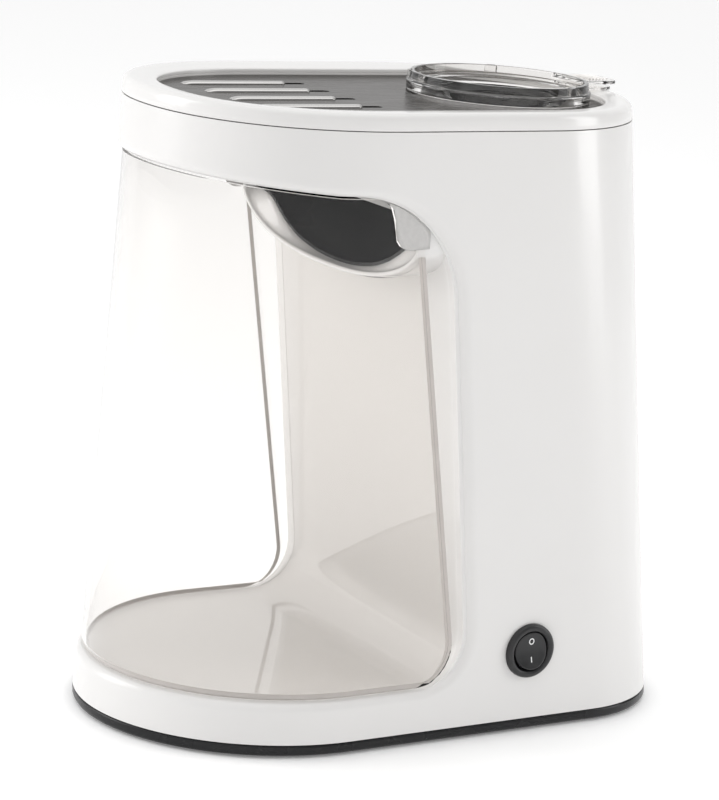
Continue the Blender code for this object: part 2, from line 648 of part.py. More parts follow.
def popping_chamber():
    flange_z = SHROUD_TOP_Z + GAP
    inner = CHAMBER_RADIUS - SHEET
    bottom = CHAMBER_BOTTOM_Z
    profile = [(0.0, bottom + 9.0), (14.0, bottom + 7.0), (inner - 6.0, bottom + SHEET),
               (inner, bottom + 8.0), (inner, flange_z + SHEET), (CHAMBER_FLANGE_RADIUS, flange_z + SHEET),
               (CHAMBER_FLANGE_RADIUS, flange_z), (CHAMBER_RADIUS, flange_z), (CHAMBER_RADIUS, bottom + 7.0),
               (CHAMBER_RADIUS - 6.0, bottom), (14.0, bottom + 7.0 - SHEET), (0.0, bottom + 9.0 - SHEET)]
    chamber = turned("popping_chamber", profile, ALUMINIUM, (0.0, AXIS_Y, 0.0), 28)

    def vents(bm):
        for i in range(CHAMBER_VENTS):
            a = 2 * math.pi * i / CHAMBER_VENTS
            place = Matrix.Translation((0.0, AXIS_Y, bottom + 20.0)) @ Matrix.Rotation(a, 4, "Z")
            turn = Matrix.Rotation(math.radians(35.0), 4, "X")
            bmesh.ops.create_cube(bm, size=1.0, matrix=place @ Matrix.Translation(
                (CHAMBER_RADIUS, 0.0, 0.0)) @ turn @ Matrix.Diagonal((8.0, 2.4, 13.0, 1.0)))
    boolean(chamber, add("chamber_vents", vents))
    smooth(chamber)
    rim = flange_z + SHEET + GAP
    outer = CHAMBER_FLANGE_RADIUS
    turned("chamber_gasket", [
        (CHAMBER_RADIUS + 1.0, rim + GASKET_HEIGHT), (outer, rim + GASKET_HEIGHT),
        (outer, rim), (CHAMBER_RADIUS + 1.0, rim)], SILICONE, (0.0, AXIS_Y, 0.0), 28)


def heater():
    low = BLOWER_TOP_Z + GAP
    r = SHROUD_RADIUS
    shroud = turned("heater_shroud", [
        (r - SHEET, SHROUD_TOP_Z), (r, SHROUD_TOP_Z), (r, low), (BLOWER_RADIUS - 2.0, low),
        (BLOWER_RADIUS - 2.0, low + SHEET), (r - SHEET, low + SHEET)], STEEL, (0.0, AXIS_Y, 0.0), 32)
    smooth(shroud)
    frame = add("heater_frame", lambda bm: block(
        bm, (-HEATER_FRAME_RADIUS, AXIS_Y - 0.5, HEATER_Z[0]),
        (HEATER_FRAME_RADIUS, AXIS_Y + 0.5, HEATER_Z[1])), MICA)
    boolean(frame, add("frame_cross", lambda bm: block(
        bm, (-0.5, AXIS_Y - HEATER_FRAME_RADIUS, HEATER_Z[0]),
        (0.5, AXIS_Y + HEATER_FRAME_RADIUS, HEATER_Z[1]))), "UNION")
    boolean(frame, add("frame_feet", lambda bm: block(
        bm, (-SHROUD_RADIUS + SHEET + GAP, AXIS_Y - 0.5, HEATER_Z[0]),
        (SHROUD_RADIUS - SHEET - GAP, AXIS_Y + 0.5, HEATER_Z[0] + 5.0))), "UNION")
    rise = HEATER_Z[1] - HEATER_Z[0] - 14.0
    steps = 12
    helix = []
    for i in range(COIL_TURNS * steps + 1):
        a = 2 * math.pi * i / steps
        helix.append((COIL_RADIUS * math.cos(a), COIL_RADIUS * math.sin(a),
                      HEATER_Z[0] + 9.0 + rise * i / (COIL_TURNS * steps)))
    tube("heater_coil", helix, COIL_WIRE, STEEL, (0.0, AXIS_Y, 0.0))
    side = SHROUD_RADIUS + GAP
    turned("thermostat", [
        (0.0, THERMOSTAT_DEPTH), (5.5, THERMOSTAT_DEPTH), (6.0, 4.0), (8.0, 3.5), (8.0, 0.0), (0.0, 0.0)],
        BLACK, (side, AXIS_Y, THERMOSTAT_Z), 20, "X")
    add("thermal_fuse", lambda bm: rod(
        bm, FUSE_RADIUS, (0, 0, -FUSE_HALF_LENGTH), (0, 0, FUSE_HALF_LENGTH), 16), STEEL,
        (-side - FUSE_RADIUS, AXIS_Y, FUSE_Z))


def blower():
    top = BASE_TOP_Z + GAP
    cradle = add("motor_cradle", lambda bm: rod(
        bm, CRADLE_RADIUS, (0.0, AXIS_Y, CRADLE_PLATE_Z), (0.0, AXIS_Y, CRADLE_PLATE_Z + CRADLE_PLATE), 32),
        GREY)
    for i, angle in enumerate((40, 140, 220, 320), 1):
        x = LEG_CIRCLE * math.cos(math.radians(angle))
        y = AXIS_Y + LEG_CIRCLE * math.sin(math.radians(angle))
        boolean(cradle, add(f"cradle_leg_{i}", lambda bm: rod(
            bm, LEG_RADIUS, (x, y, top), (x, y, CRADLE_PLATE_Z + 1.0), 10)), "UNION")

    def inlet(bm):
        rod(bm, 6.0, (0.0, AXIS_Y, 60.0), (0.0, AXIS_Y, 80.0), 24)
        for start in (8, 98, 188, 278):
            band = [(r, a) for r, a in [(30.0, start + s * 13.0) for s in range(6)]
                    + [(22.0, start + s * 13.0) for s in range(5, -1, -1)]]
            points = [(r * math.cos(math.radians(a)), AXIS_Y + r * math.sin(math.radians(a)), 60.0)
                      for r, a in band]
            prism(bm, points, (0.0, 0.0, 20.0))
        for x in (-MOTOR_SCREW_X, MOTOR_SCREW_X):
            rod(bm, 1.8, (x, AXIS_Y, 60.0), (x, AXIS_Y, 80.0), 12)
    boolean(cradle, add("cradle_inlet", inlet))
    smooth(cradle)

    wall = turned("blower_housing", [
        (BLOWER_RADIUS - 2.0, BLOWER_TOP_Z), (BLOWER_RADIUS, BLOWER_TOP_Z),
        (BLOWER_RADIUS, CRADLE_PLATE_Z + CRADLE_PLATE + GAP),
        (BLOWER_RADIUS - 2.0, CRADLE_PLATE_Z + CRADLE_PLATE + GAP)], GREY, (0.0, AXIS_Y, 0.0), 32)
    smooth(wall)

    can_top = CRADLE_PLATE_Z - GAP
    bush = SHAFT_RADIUS + 2.5
    can = turned("motor_can", [
        (bush + 0.1, can_top), (MOTOR_RADIUS - 1.5, can_top), (MOTOR_RADIUS, can_top - 1.5),
        (MOTOR_RADIUS, MOTOR_BOTTOM_Z), (bush + 0.1, MOTOR_BOTTOM_Z)], STEEL, (0.0, AXIS_Y, 0.0), 24)
    boolean(can, add("can_screw_holes", lambda bm: [
        rod(bm, 1.3, (x, AXIS_Y, can_top - MOTOR_BUSH_HEIGHT), (x, AXIS_Y, can_top + 5.0), 12)
        for x in (-MOTOR_SCREW_X, MOTOR_SCREW_X)]))
    smooth(can)
    for name, low in (("shaft_bush_lower", MOTOR_BOTTOM_Z),
                      ("shaft_bush_upper", can_top - MOTOR_BUSH_HEIGHT)):
        high = low + MOTOR_BUSH_HEIGHT
        turned(name, [(SHAFT_RADIUS + 0.1, high), (bush - 0.1, high), (bush - 0.1, low),
                      (SHAFT_RADIUS + 0.1, low)], BRASS, (0.0, AXIS_Y, 0.0), 24)
    add("motor_shaft", lambda bm: rod(
        bm, SHAFT_RADIUS, (0, 0, SHAFT_BOTTOM_Z), (0, 0, SHAFT_TOP_Z), 24), STEEL, (0.0, AXIS_Y, 0.0))
    for index, x in enumerate((-MOTOR_SCREW_X, MOTOR_SCREW_X), 1):
        head = CRADLE_PLATE_Z + CRADLE_PLATE + GAP
        turned(f"motor_screw_{index}", [
            (0.0, head + 1.6), (2.0, head + 1.6), (2.8, head), (1.0, head), (1.0, head - 7.0),
            (0.0, head - 7.0)], STEEL, (x, AXIS_Y, 0.0), 12)

    low, high = IMPELLER_Z
    wheel = turned("impeller", [
        (SHAFT_RADIUS + 0.25, high), (7.0, high), (8.0, low + 2.0), (IMPELLER_RADIUS, low + 2.0),
        (IMPELLER_RADIUS, low), (SHAFT_RADIUS + 0.25, low)], BLACK, (0.0, AXIS_Y, 0.0), 24)

    def blades(bm):
        for i in range(IMPELLER_BLADES):
            spin = Matrix.Rotation(2 * math.pi * i / IMPELLER_BLADES, 3, "Z")
            front = arc((22.0, -26.0), 30.0, 64.0, 114.0, 3)
            back = arc((22.0, -26.0), 31.4, 114.0, 64.0, 3)
            prism(bm, [spin @ Vector((x, y, low + 1.0)) for x, y in front + back],
                  (0.0, 0.0, high - low - 3.0))
        bmesh.ops.translate(bm, vec=(0.0, AXIS_Y, 0.0), verts=bm.verts)
    boolean(wheel, add("impeller_blades", blades), "UNION")
    add("rectifier_board", lambda bm: block(
        bm, (-15.0, AXIS_Y - 13.0, SHAFT_BOTTOM_Z - GAP - 1.6),
        (15.0, AXIS_Y + 13.0, SHAFT_BOTTOM_Z - GAP)), BOARD)


# ---------------------------------------------------------------- switch, cord inlet, wires

def switch():
    face = BODY_WIDTH / 2
    inner = ROCKER_BORE
    barrel = turned("switch_body", [
        (inner, BEZEL_PROUD + GAP), (BEZEL_RADIUS - 1.2, BEZEL_PROUD + GAP),
        (BEZEL_RADIUS, BEZEL_PROUD - 1.0), (BEZEL_RADIUS, GAP), (SWITCH_BARREL_RADIUS, GAP),
        (SWITCH_BARREL_RADIUS, -SWITCH_DEPTH), (0.0, -SWITCH_DEPTH), (0.0, -SWITCH_DEPTH + 8.0),
        (inner, -SWITCH_DEPTH + 8.0)], BLACK, (face, SWITCH_Y, SWITCH_Z), 24, "X")
    boolean(barrel, add("terminal_slots", lambda bm: [
        block(bm, (face - SWITCH_DEPTH - 1.0, SWITCH_Y - 3.3, SWITCH_Z + z - 0.7),
              (face - SWITCH_DEPTH + 4.0, SWITCH_Y + 3.3, SWITCH_Z + z + 0.7))
        for z in (-TERMINAL_Z, TERMINAL_Z)]))
    smooth(barrel)
    for index, z in enumerate((TERMINAL_Z, -TERMINAL_Z), 1):
        add(f"switch_terminal_{index}", lambda bm: block(
            bm, (-TERMINAL_REACH, -3.0, -0.4), (3.5, 3.0, 0.4)), BRASS,
            (face - SWITCH_DEPTH, SWITCH_Y, SWITCH_Z + z))

    reach = ROCKER_RADIUS - 0.6

    def rocker(bm):
        half = math.degrees(math.asin(reach / ROCKER_DISH))
        centre = ROCKER_DISH * math.cos(math.radians(half)) + ROCKER_EDGE
        bow = arc((centre, 0.0), ROCKER_DISH, 180.0 + half, 180.0 - half, 8)
        outline = bow + [(-4.5, reach - 2.5), (-6.0, 0.0), (-4.5, -reach + 2.5)]
        points = [(x, -ROCKER_RADIUS, z) for x, z in outline]
        prism(bm, points, (0.0, 2 * ROCKER_RADIUS, 0.0))
    paddle = add("switch_rocker", rocker, BLACK, (face, SWITCH_Y, SWITCH_Z))
    round_off = add("rocker_round", lambda bm: rod(
        bm, ROCKER_RADIUS, (-12.0, 0.0, 0.0), (12.0, 0.0, 0.0), 24), None, (face, SWITCH_Y, SWITCH_Z))
    for piece in (paddle, round_off):
        piece.rotation_euler.y = math.radians(-ROCKER_TILT)
    smooth(boolean(paddle, round_off, "INTERSECT"))


def rear_y_at(z):
    return mix(REAR_Y, z)


def cord_inlet_and_wires():
    back = rear_y_at(GLAND_Z)
    gland = turned("cord_gland", [
        (CORD_RADIUS, 4.0), (GLAND_RADIUS + 1.6, 4.0), (GLAND_RADIUS + 2.2, 2.4), (GLAND_RADIUS + 2.2, 1.2),
        (GLAND_RADIUS, 1.2), (GLAND_RADIUS, -6.0), (CORD_RADIUS, -6.0)], BLACK,
        (GLAND_X, back, GLAND_Z), 24)
    gland.rotation_euler = (-math.pi / 2, 0.0, 0.0)
    smooth(gland)
    face = BODY_WIDTH / 2
    blade_x = face - SWITCH_DEPTH - TERMINAL_REACH
    start = (GLAND_X, back - 8.0, GLAND_Z)
    side = SHROUD_RADIUS + 12.0

    def run(points, steps=4):
        """Evenly blended way through the points (Catmull-Rom)."""
        ring = [points[0]] + list(points) + [points[-1]]
        out = []
        for a, b, c, d in zip(ring, ring[1:], ring[2:], ring[3:]):
            a, b, c, d = map(Vector, (a, b, c, d))
            for i in range(steps):
                t = i / steps
                out.append(0.5 * ((2 * b) + (c - a) * t + (2 * a - 5 * b + 4 * c - d) * t * t
                                  + (3 * b - a - 3 * c + d) * t ** 3))
        return out + [Vector(points[-1])]
    blade_end = blade_x - WIRE_RADIUS
    live = [(start[0] + 1.5, *start[1:]), (20.0, 118.0, 24.0), (52.0, 92.0, 40.0),
            (blade_x - 6.0, SWITCH_Y + 6.0, SWITCH_Z + TERMINAL_Z),
            (blade_end, SWITCH_Y, SWITCH_Z + TERMINAL_Z)]
    switched = [(blade_end - 0.4, SWITCH_Y, SWITCH_Z - TERMINAL_Z),
                (blade_x - 4.0, SWITCH_Y - 8.0, SWITCH_Z + TERMINAL_Z - 0.3),
                (side, AXIS_Y - 18.0, 90.0), (side + 2.0, AXIS_Y - 8.0, 150.0),
                (SHROUD_RADIUS + GAP + THERMOSTAT_DEPTH + 0.5 + WIRE_RADIUS, AXIS_Y, THERMOSTAT_Z - 4.0)]
    neutral = [(start[0] - 1.5, *start[1:]), (-36.0, 112.0, 40.0), (-58.0, 86.0, 90.0),
               (-side, AXIS_Y + 8.0, 140.0),
               (-(SHROUD_RADIUS + GAP + FUSE_RADIUS), AXIS_Y, FUSE_Z - FUSE_HALF_LENGTH - 0.7)]
    tube("wire_live", run(live), WIRE_RADIUS, WIRE_BROWN)
    tube("wire_switched", run(switched), WIRE_RADIUS, WIRE_BROWN)
    tube("wire_neutral", run(neutral), WIRE_RADIUS, WIRE_BLUE)


foot_and_base()
housing()
bay_liner()
lid()
dosing_cup()
container()
chute_duct()
popping_chamber()
heater()
blower()
switch()
cord_inlet_and_wires()
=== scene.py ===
"""Looks for the hot-air popcorn maker: smooth shells, clear parts, materials, floor, lights and camera.

Sizes are millimetres in the frame's axes; MM turns them into metres where meshes are made.
"""
import json
import math

import bmesh
import bpy
from mathutils import Matrix, Vector


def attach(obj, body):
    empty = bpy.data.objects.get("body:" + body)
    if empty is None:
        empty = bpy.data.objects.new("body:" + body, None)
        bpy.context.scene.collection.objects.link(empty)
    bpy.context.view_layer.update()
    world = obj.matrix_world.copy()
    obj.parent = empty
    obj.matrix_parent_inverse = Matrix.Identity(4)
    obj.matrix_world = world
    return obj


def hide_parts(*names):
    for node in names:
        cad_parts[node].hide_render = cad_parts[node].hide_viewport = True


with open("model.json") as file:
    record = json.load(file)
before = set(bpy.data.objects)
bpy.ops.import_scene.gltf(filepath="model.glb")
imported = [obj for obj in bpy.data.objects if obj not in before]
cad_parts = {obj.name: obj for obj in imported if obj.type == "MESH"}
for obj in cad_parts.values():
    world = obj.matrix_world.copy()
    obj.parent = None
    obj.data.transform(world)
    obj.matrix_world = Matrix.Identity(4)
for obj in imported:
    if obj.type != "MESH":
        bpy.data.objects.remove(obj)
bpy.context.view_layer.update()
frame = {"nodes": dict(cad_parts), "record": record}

MM = 0.001
SCENE = bpy.context.scene
SCENE.view_settings.view_transform = "Standard"

# Body outline, as (at z = 0, at z = TOP_Z)
TOP_Z = 300.0
HALF = 85.35
FRONT_Y = (-147.2, -136.2)
REAR_Y = (147.2, 114.1)
NOSE = (93.5, 89.7)
NOSE_EXPONENT = (1.97, 2.17)
REAR_RADIUS = (61.5, 85.3)
REAR_EXPONENT = 2.04
HOUSING_Z = (6.8, 291.75)
WALL = 2.3

# Bay seen from the side
BAY_FLOOR_Z = 26.3
BAY_CEILING_Z = 262.5
CEILING_RISE = 0.07
BACK_Y = 2.7
BACK_LEAN = -0.132
BACK_REF_Z = 80.0
TOP_RADIUS = 55.0
BOTTOM_RADIUS = 25.0

# Chute
SPOUT_FRONT_Y = -37.0
SPOUT_HALF = 81.0
SPOUT_Z = 217.0
SPOUT_RISE = 30.0
SPOUT_EXPONENT = 2.3
DUCT_Y = -30.0                # the duct's front edge
# Height of the duct's edge above its lowest point, at distances from the middle
DUCT_EDGE = ((0.0, 0.0), (15.7, 0.7), (27.5, 2.5), (38.0, 5.0), (49.5, 9.6), (56.5, 13.9), (62.5, 17.7),
             (68.0, 19.8), (74.0, 20.8), (84.0, 21.2))
DUCT_EDGE_Z = 216.9

DUCT_FLANGE = 52.0            # half width of the duct round the chamber
DUCT_SILL_Z = 232.8
DUCT_TOP_Z = 288.5
CHAMBER_RADIUS = 42.0

# Container
BIN_INSET = 2.5
BIN_FLOOR_Z = 27.0
BIN_BACK_Y = -4.7
BIN_LEAN = -0.178
BIN_RADIUS = 20.0
BIN_CORNER = 1.2
BIN_FOOT = 3.0                # radius of its rolled foot
BIN_WALL = 2.0
BIN_STEP_Z = 237.8
# Its upper rear corner seen from the side, as (y, z) from the front to the back
BIN_STEP = ((-60.5, 261.3), (-57.5, 260.9), (-53.5, 259.0), (-51.2, 256.5), (-50.3, 253.5), (-49.9, 250.0),
            (-49.5, 246.5), (-48.4, 242.6), (-46.2, 239.8), (-43.2, 238.2), (-40.0, BIN_STEP_Z),
            (0.0, BIN_STEP_Z))

# Top plate and cup
AXIS_Y = 55.0
PLATE_Z = 295.6
OPENING = {"half": 65.75, "front": -120.6, "rear": 101.0, "nose": 78.0, "exponent": 2.36, "radius": 61.0}
SLOT_X = (-36.0, -12.0, 12.0, 36.0)
SLOT_Y = (-98.0, -33.0)
SLOT_HALF = 2.3

# Switch, cord inlet, louvres and base
SWITCH = Vector((HALF, 43.3, 41.3))
SWITCH_HOLE = 11.0
SWITCH_TILT = -8.0            # degrees
ROCKER_RADIUS = 9.1
ROCKER_DISH = 30.0            # radius of its hollow face
ROCKER_EDGE = 3.2
ROCKER_REACH = 8.5
GLAND_X = -13.0
GLAND_Z = 22.0
GLAND_HOLE = 6.3
LOUVRE_Z = (64.0, 73.0, 82.0, 91.0, 100.0)
LOUVRE_X = (7.0, 31.0)
LOUVRE_RADIUS = 1.6
FOOT_POSITIONS = ((62.0, -74.0), (-62.0, -74.0), (62.0, 96.0), (-62.0, 96.0))
SCREW_POSITIONS = ((73.0, -48.0), (-73.0, -48.0), (73.0, 78.0), (-73.0, 78.0))
GRILLE_X = range(-30, 31, 12)
GRILLE_RADIUS = 36.0
GRILLE_HALF = 2.2


# ---- curves

def mix(pair, z):
    return pair[0] + (pair[1] - pair[0]) * z / TOP_Z


def lerp(a, b, t):
    return a + (b - a) * t


def bent(value, exponent):
    return math.copysign(abs(value) ** (2.0 / exponent), value)


def outline_point(s, half, front, rear, nose, exponent, radius):
    """(x, y) on the right half of a plan outline: s 0-1 nose, 1-2 side, 2-3 rear corner, 3-4 rear."""
    nose_end, corner = front + nose, rear - radius
    if s <= 1.0:
        a = math.pi / 2 * (1.0 - s)
        return half * bent(math.cos(a), exponent), nose_end - nose * bent(math.sin(a), exponent)
    if s <= 2.0:
        return half, lerp(nose_end, corner, s - 1.0)
    if s <= 3.0:
        a = math.pi / 2 * (s - 2.0)
        return (half - radius + radius * bent(math.cos(a), REAR_EXPONENT),
                corner + radius * bent(math.sin(a), REAR_EXPONENT))
    return (half - radius) * (4.0 - s), rear


def body_point(s, z, inset=0.0, side=1):
    x, y = outline_point(s, HALF - inset, mix(FRONT_Y, z) + inset, mix(REAR_Y, z) - inset,
                         mix(NOSE, z) - inset, mix(NOSE_EXPONENT, z), mix(REAR_RADIUS, z) - inset)
    return side * x, y, z


def opening_point(s, z, out=0.0, side=1):
    o = OPENING
    x, y = outline_point(s, o["half"] + out, o["front"] - out, o["rear"] + out,
                         o["nose"] + out, o["exponent"], o["radius"] + out)
    return side * x, y, z


def s_at(y, z):
    """Where along the outline the body's side has this y."""
    nose_end = mix(FRONT_Y, z) + mix(NOSE, z)
    corner = mix(REAR_Y, z) - mix(REAR_RADIUS, z)
    if y >= nose_end:
        return 1.0 + (y - nose_end) / (corner - nose_end)
    ratio = min((nose_end - y) / mix(NOSE, z), 1.0)
    return 1.0 - math.asin(ratio ** (mix(NOSE_EXPONENT, z) / 2.0)) / (math.pi / 2)


def back_line(z, at=BACK_Y, lean=BACK_LEAN):
    return at + lean * (z - BACK_REF_Z)


def corner_arc(floor_z, back_y, lean, radius, top, steps):
    tilt = math.atan(-lean)
    sign = -1.0 if top else 1.0
    cz = floor_z + sign * radius
    cy = back_line(cz, back_y, lean) - radius / math.cos(tilt)
    a, b = (tilt, math.pi / 2) if top else (-math.pi / 2, tilt)
    return [(cy + radius * math.cos(lerp(a, b, i / steps)), cz + radius * math.sin(lerp(a, b, i / steps)))
            for i in range(steps + 1)]


CEILING_START = back_line(BAY_CEILING_Z) - TOP_RADIUS


def ceiling_z(y):
    return BAY_CEILING_Z + CEILING_RISE * max(CEILING_START - y, 0.0)


def spout_z(x, half=SPOUT_HALF, bottom=SPOUT_Z, rise=SPOUT_RISE):
    ratio = min(abs(x) / half, 1.0)
    return bottom + rise * (1.0 - (1.0 - ratio ** SPOUT_EXPONENT) ** (1.0 / SPOUT_EXPONENT))


def duct_edge_z(x):
    """Smooth way through DUCT_EDGE (Catmull-Rom in height)."""
    x = min(abs(x), DUCT_EDGE[-1][0])
    last = len(DUCT_EDGE) - 1
    i = next(k for k in range(last) if x <= DUCT_EDGE[k + 1][0])
    t = (x - DUCT_EDGE[i][0]) / (DUCT_EDGE[i + 1][0] - DUCT_EDGE[i][0])
    a = DUCT_EDGE[1][1] if i == 0 else DUCT_EDGE[i - 1][1]
    b, c = DUCT_EDGE[i][1], DUCT_EDGE[i + 1][1]
    d = DUCT_EDGE[min(i + 2, last)][1]
    return DUCT_EDGE_Z + 0.5 * (2 * b + (c - a) * t + (2 * a - 5 * b + 4 * c - d) * t * t
                                + (3 * b - a - 3 * c + d) * t ** 3)


def smoothstep(t):
    t = min(max(t, 0.0), 1.0)
    return t * t * (3.0 - 2.0 * t)


def spread(a, b, steps):
    return [lerp(a, b, i / steps) for i in range(steps + 1)]


# ---- materials

def nodes_of(name):
    made = bpy.data.materials.new(name)
    made.use_nodes = True
    tree = made.node_tree
    return made, tree, tree.nodes["Principled BSDF"]


def noise_at(tree, scale, detail=2.0, stretch=None):
    """Noise in object space, in units of the part's own metres."""
    coords = tree.nodes.new("ShaderNodeTexCoord")
    source = coords.outputs["Object"]
    if stretch:
        mapping = tree.nodes.new("ShaderNodeMapping")
        mapping.inputs["Scale"].default_value = stretch
        tree.links.new(source, mapping.inputs["Vector"])
        source = mapping.outputs["Vector"]
    noise = tree.nodes.new("ShaderNodeTexNoise")
    noise.inputs["Scale"].default_value = scale
    noise.inputs["Detail"].default_value = detail
    tree.links.new(source, noise.inputs["Vector"])
    return noise.outputs["Fac"]


def ramp(tree, source, low, high):
    """Maps noise from about 0.3-0.7 to low-high."""
    node = tree.nodes.new("ShaderNodeMapRange")
    node.inputs["From Min"].default_value = 0.3
    node.inputs["From Max"].default_value = 0.7
    node.inputs["To Min"].default_value = low
    node.inputs["To Max"].default_value = high
    tree.links.new(source, node.inputs["Value"])
    return node.outputs["Result"]


def tinted(tree, source, first, second):
    node = tree.nodes.new("ShaderNodeMix")
    node.data_type = "RGBA"
    node.inputs["A"].default_value = (*first, 1.0)
    node.inputs["B"].default_value = (*second, 1.0)
    tree.links.new(source, node.inputs["Factor"])
    return node.outputs["Result"]


def bump(tree, source, strength, distance):
    node = tree.nodes.new("ShaderNodeBump")
    node.inputs["Strength"].default_value = strength
    node.inputs["Distance"].default_value = distance
    tree.links.new(source, node.inputs["Height"])
    return node.outputs["Normal"]


def surface(name, first, second, rough, scale=60.0, grain=900.0, grain_strength=0.05, grain_depth=0.00005,
            metallic=0.0, coat=0.0, stretch=None, specular=0.5, edge_tint=1.0):
    """Opaque material with a little drift in colour and roughness and a fine surface grain."""
    made, tree, shader = nodes_of(name)
    drift = noise_at(tree, scale)
    fine = noise_at(tree, grain, 3.0, stretch)
    tree.links.new(tinted(tree, drift, first, second), shader.inputs["Base Color"])
    tree.links.new(ramp(tree, fine if stretch else drift, *rough), shader.inputs["Roughness"])
    tree.links.new(bump(tree, fine, grain_strength, grain_depth), shader.inputs["Normal"])
    shader.inputs["Metallic"].default_value = metallic
    shader.inputs["Coat Weight"].default_value = coat
    shader.inputs["Coat Roughness"].default_value = 0.08
    shader.inputs["Specular IOR Level"].default_value = specular
    shader.inputs["Specular Tint"].default_value = (edge_tint, edge_tint, edge_tint, 1.0)
    return made


def clear(name, colour, rough=(0.01, 0.04), ior=1.3):
    """Clear moulded plastic that lets lamp light through to what is inside."""
    made, tree, shader = nodes_of(name)
    shader.inputs["Base Color"].default_value = (*colour, 1.0)
    shader.inputs["Transmission Weight"].default_value = 1.0
    shader.inputs["IOR"].default_value = ior
    tree.links.new(ramp(tree, noise_at(tree, 25.0), *rough), shader.inputs["Roughness"])
    path = tree.nodes.new("ShaderNodeLightPath")
    through = tree.nodes.new("ShaderNodeBsdfTransparent")
    through.inputs["Color"].default_value = (*[0.5 + 0.5 * c for c in colour], 1.0)
    blend = tree.nodes.new("ShaderNodeMixShader")
    unseen = tree.nodes.new("ShaderNodeMath")
    unseen.operation = "MAXIMUM"
    tree.links.new(path.outputs["Is Shadow Ray"], unseen.inputs[0])
    tree.links.new(path.outputs["Is Diffuse Ray"], unseen.inputs[1])
    tree.links.new(unseen.outputs["Value"], blend.inputs["Fac"])
    tree.links.new(shader.outputs["BSDF"], blend.inputs[1])
    tree.links.new(through.outputs["BSDF"], blend.inputs[2])
    tree.links.new(blend.outputs["Shader"], tree.nodes["Material Output"].inputs["Surface"])
    return made


LOOKS = {
    "white_housing": surface("white_gloss", (0.735, 0.725, 0.715), (0.76, 0.75, 0.74), (0.16, 0.24),
                             scale=12.0, grain=400.0, grain_strength=0.006, coat=0.25),
    "black_base": surface("black_satin", (0.008, 0.008, 0.009), (0.014, 0.014, 0.015), (0.22, 0.34),
                          specular=0.3),
    "black_duct": surface("black_gloss", (0.010, 0.010, 0.011), (0.017, 0.017, 0.018), (0.10, 0.2),
                          specular=0.3),
    "black_switch": surface("black_switch_plastic", (0.010, 0.010, 0.011), (0.017, 0.017, 0.018), (0.28, 0.4),
                            scale=300.0, grain=2500.0, grain_strength=0.15),
    "foot_rubber": surface("rubber", (0.02, 0.02, 0.02), (0.035, 0.034, 0.033), (0.7, 0.85), grain=1500.0,
                           grain_strength=0.3),
    "clear_plastic": clear("clear_plastic", (0.95, 0.94, 0.929)),
    # painted reflection: the plate's base colour is set far darker than steel's own, painting in a dark
    # reflection from the room
    "steel_plate": surface("brushed_steel_painted_dark_reflection", (0.17, 0.158, 0.148), (0.21, 0.198, 0.187), (0.14, 0.30),
                           scale=30.0, grain=700.0, grain_strength=0.06, metallic=1.0,
                           stretch=(2.5, 0.06, 2.5), edge_tint=0.55),
    "steel_sheet": surface("plain_steel", (0.5, 0.5, 0.5), (0.58, 0.58, 0.58), (0.25, 0.4), metallic=1.0),
    "aluminium": surface("drawn_aluminium", (0.72, 0.72, 0.74), (0.78, 0.78, 0.8), (0.25, 0.4), metallic=1.0,
                         grain=600.0, stretch=(1.0, 1.0, 8.0)),
    "brass": surface("brass", (0.70, 0.52, 0.22), (0.76, 0.58, 0.27), (0.22, 0.35), metallic=1.0),
    "mica": surface("mica", (0.55, 0.49, 0.38), (0.68, 0.62, 0.5), (0.4, 0.6), scale=200.0),
    "board": surface("circuit_board", (0.04, 0.2, 0.08), (0.06, 0.26, 0.11), (0.35, 0.5), scale=150.0),
    "silicone": surface("silicone", (0.02, 0.02, 0.02), (0.03, 0.03, 0.03), (0.5, 0.65)),
    "grey_plastic": surface("glass_filled_plastic", (0.13, 0.135, 0.145), (0.17, 0.175, 0.185), (0.4, 0.6),
                            grain=1800.0, grain_strength=0.2),
    "wire_brown": surface("brown_insulation", (0.12, 0.04, 0.02), (0.15, 0.06, 0.03), (0.4, 0.5)),
    "wire_blue": surface("blue_insulation", (0.02, 0.06, 0.35), (0.03, 0.09, 0.42), (0.4, 0.5)),
}
# painted shade: opaque taupe for ribbons inside the clear container, standing in for the darker line that
# light bent in its thick edges gives
EDGE = surface("clear_edge_painted_shade", (0.50, 0.47, 0.45), (0.56, 0.53, 0.51), (0.3, 0.4), scale=80.0)
# painted highlight: a brighter copy of the plate's steel for the pressed beads, painting in their bright
# highlights
HOOD_STEEL_PAINTED_HIGHLIGHT = surface("hood_steel_painted_highlight", (0.50, 0.49, 0.48), (0.56, 0.55, 0.54), (0.12, 0.22), metallic=1.0,
                   grain=700.0, stretch=(2.5, 0.06, 2.5))
# painted shade: grey for tabs in the container's stepped corners, standing in for the shaded white liner seen
# through the open notch
NOTCH_TAB_PAINTED_SHADE = surface("notch_tab_painted_shade", (0.47, 0.46, 0.45), (0.58, 0.57, 0.56), (0.3, 0.5), scale=500.0,
                  grain=1800.0, grain_strength=0.3)
MARK = surface("printed_white", (0.75, 0.75, 0.75), (0.8, 0.8, 0.8), (0.4, 0.5))


# ---- mesh helpers

def mesh_object(name, bm, look=None, angle=40.0):
    bmesh.ops.remove_doubles(bm, verts=bm.verts, dist=0.002)
    bmesh.ops.recalc_face_normals(bm, faces=bm.faces)
    bmesh.ops.scale(bm, vec=(MM, MM, MM), verts=bm.verts)
    mesh = bpy.data.meshes.new(name)
    bm.to_mesh(mesh)
    bm.free()
    mesh.shade_smooth()
    mesh.set_sharp_from_angle(angle=math.radians(angle))
    made = bpy.data.objects.new(name, mesh)
    SCENE.collection.objects.link(made)
    if look:
        mesh.materials.append(look)
    return made


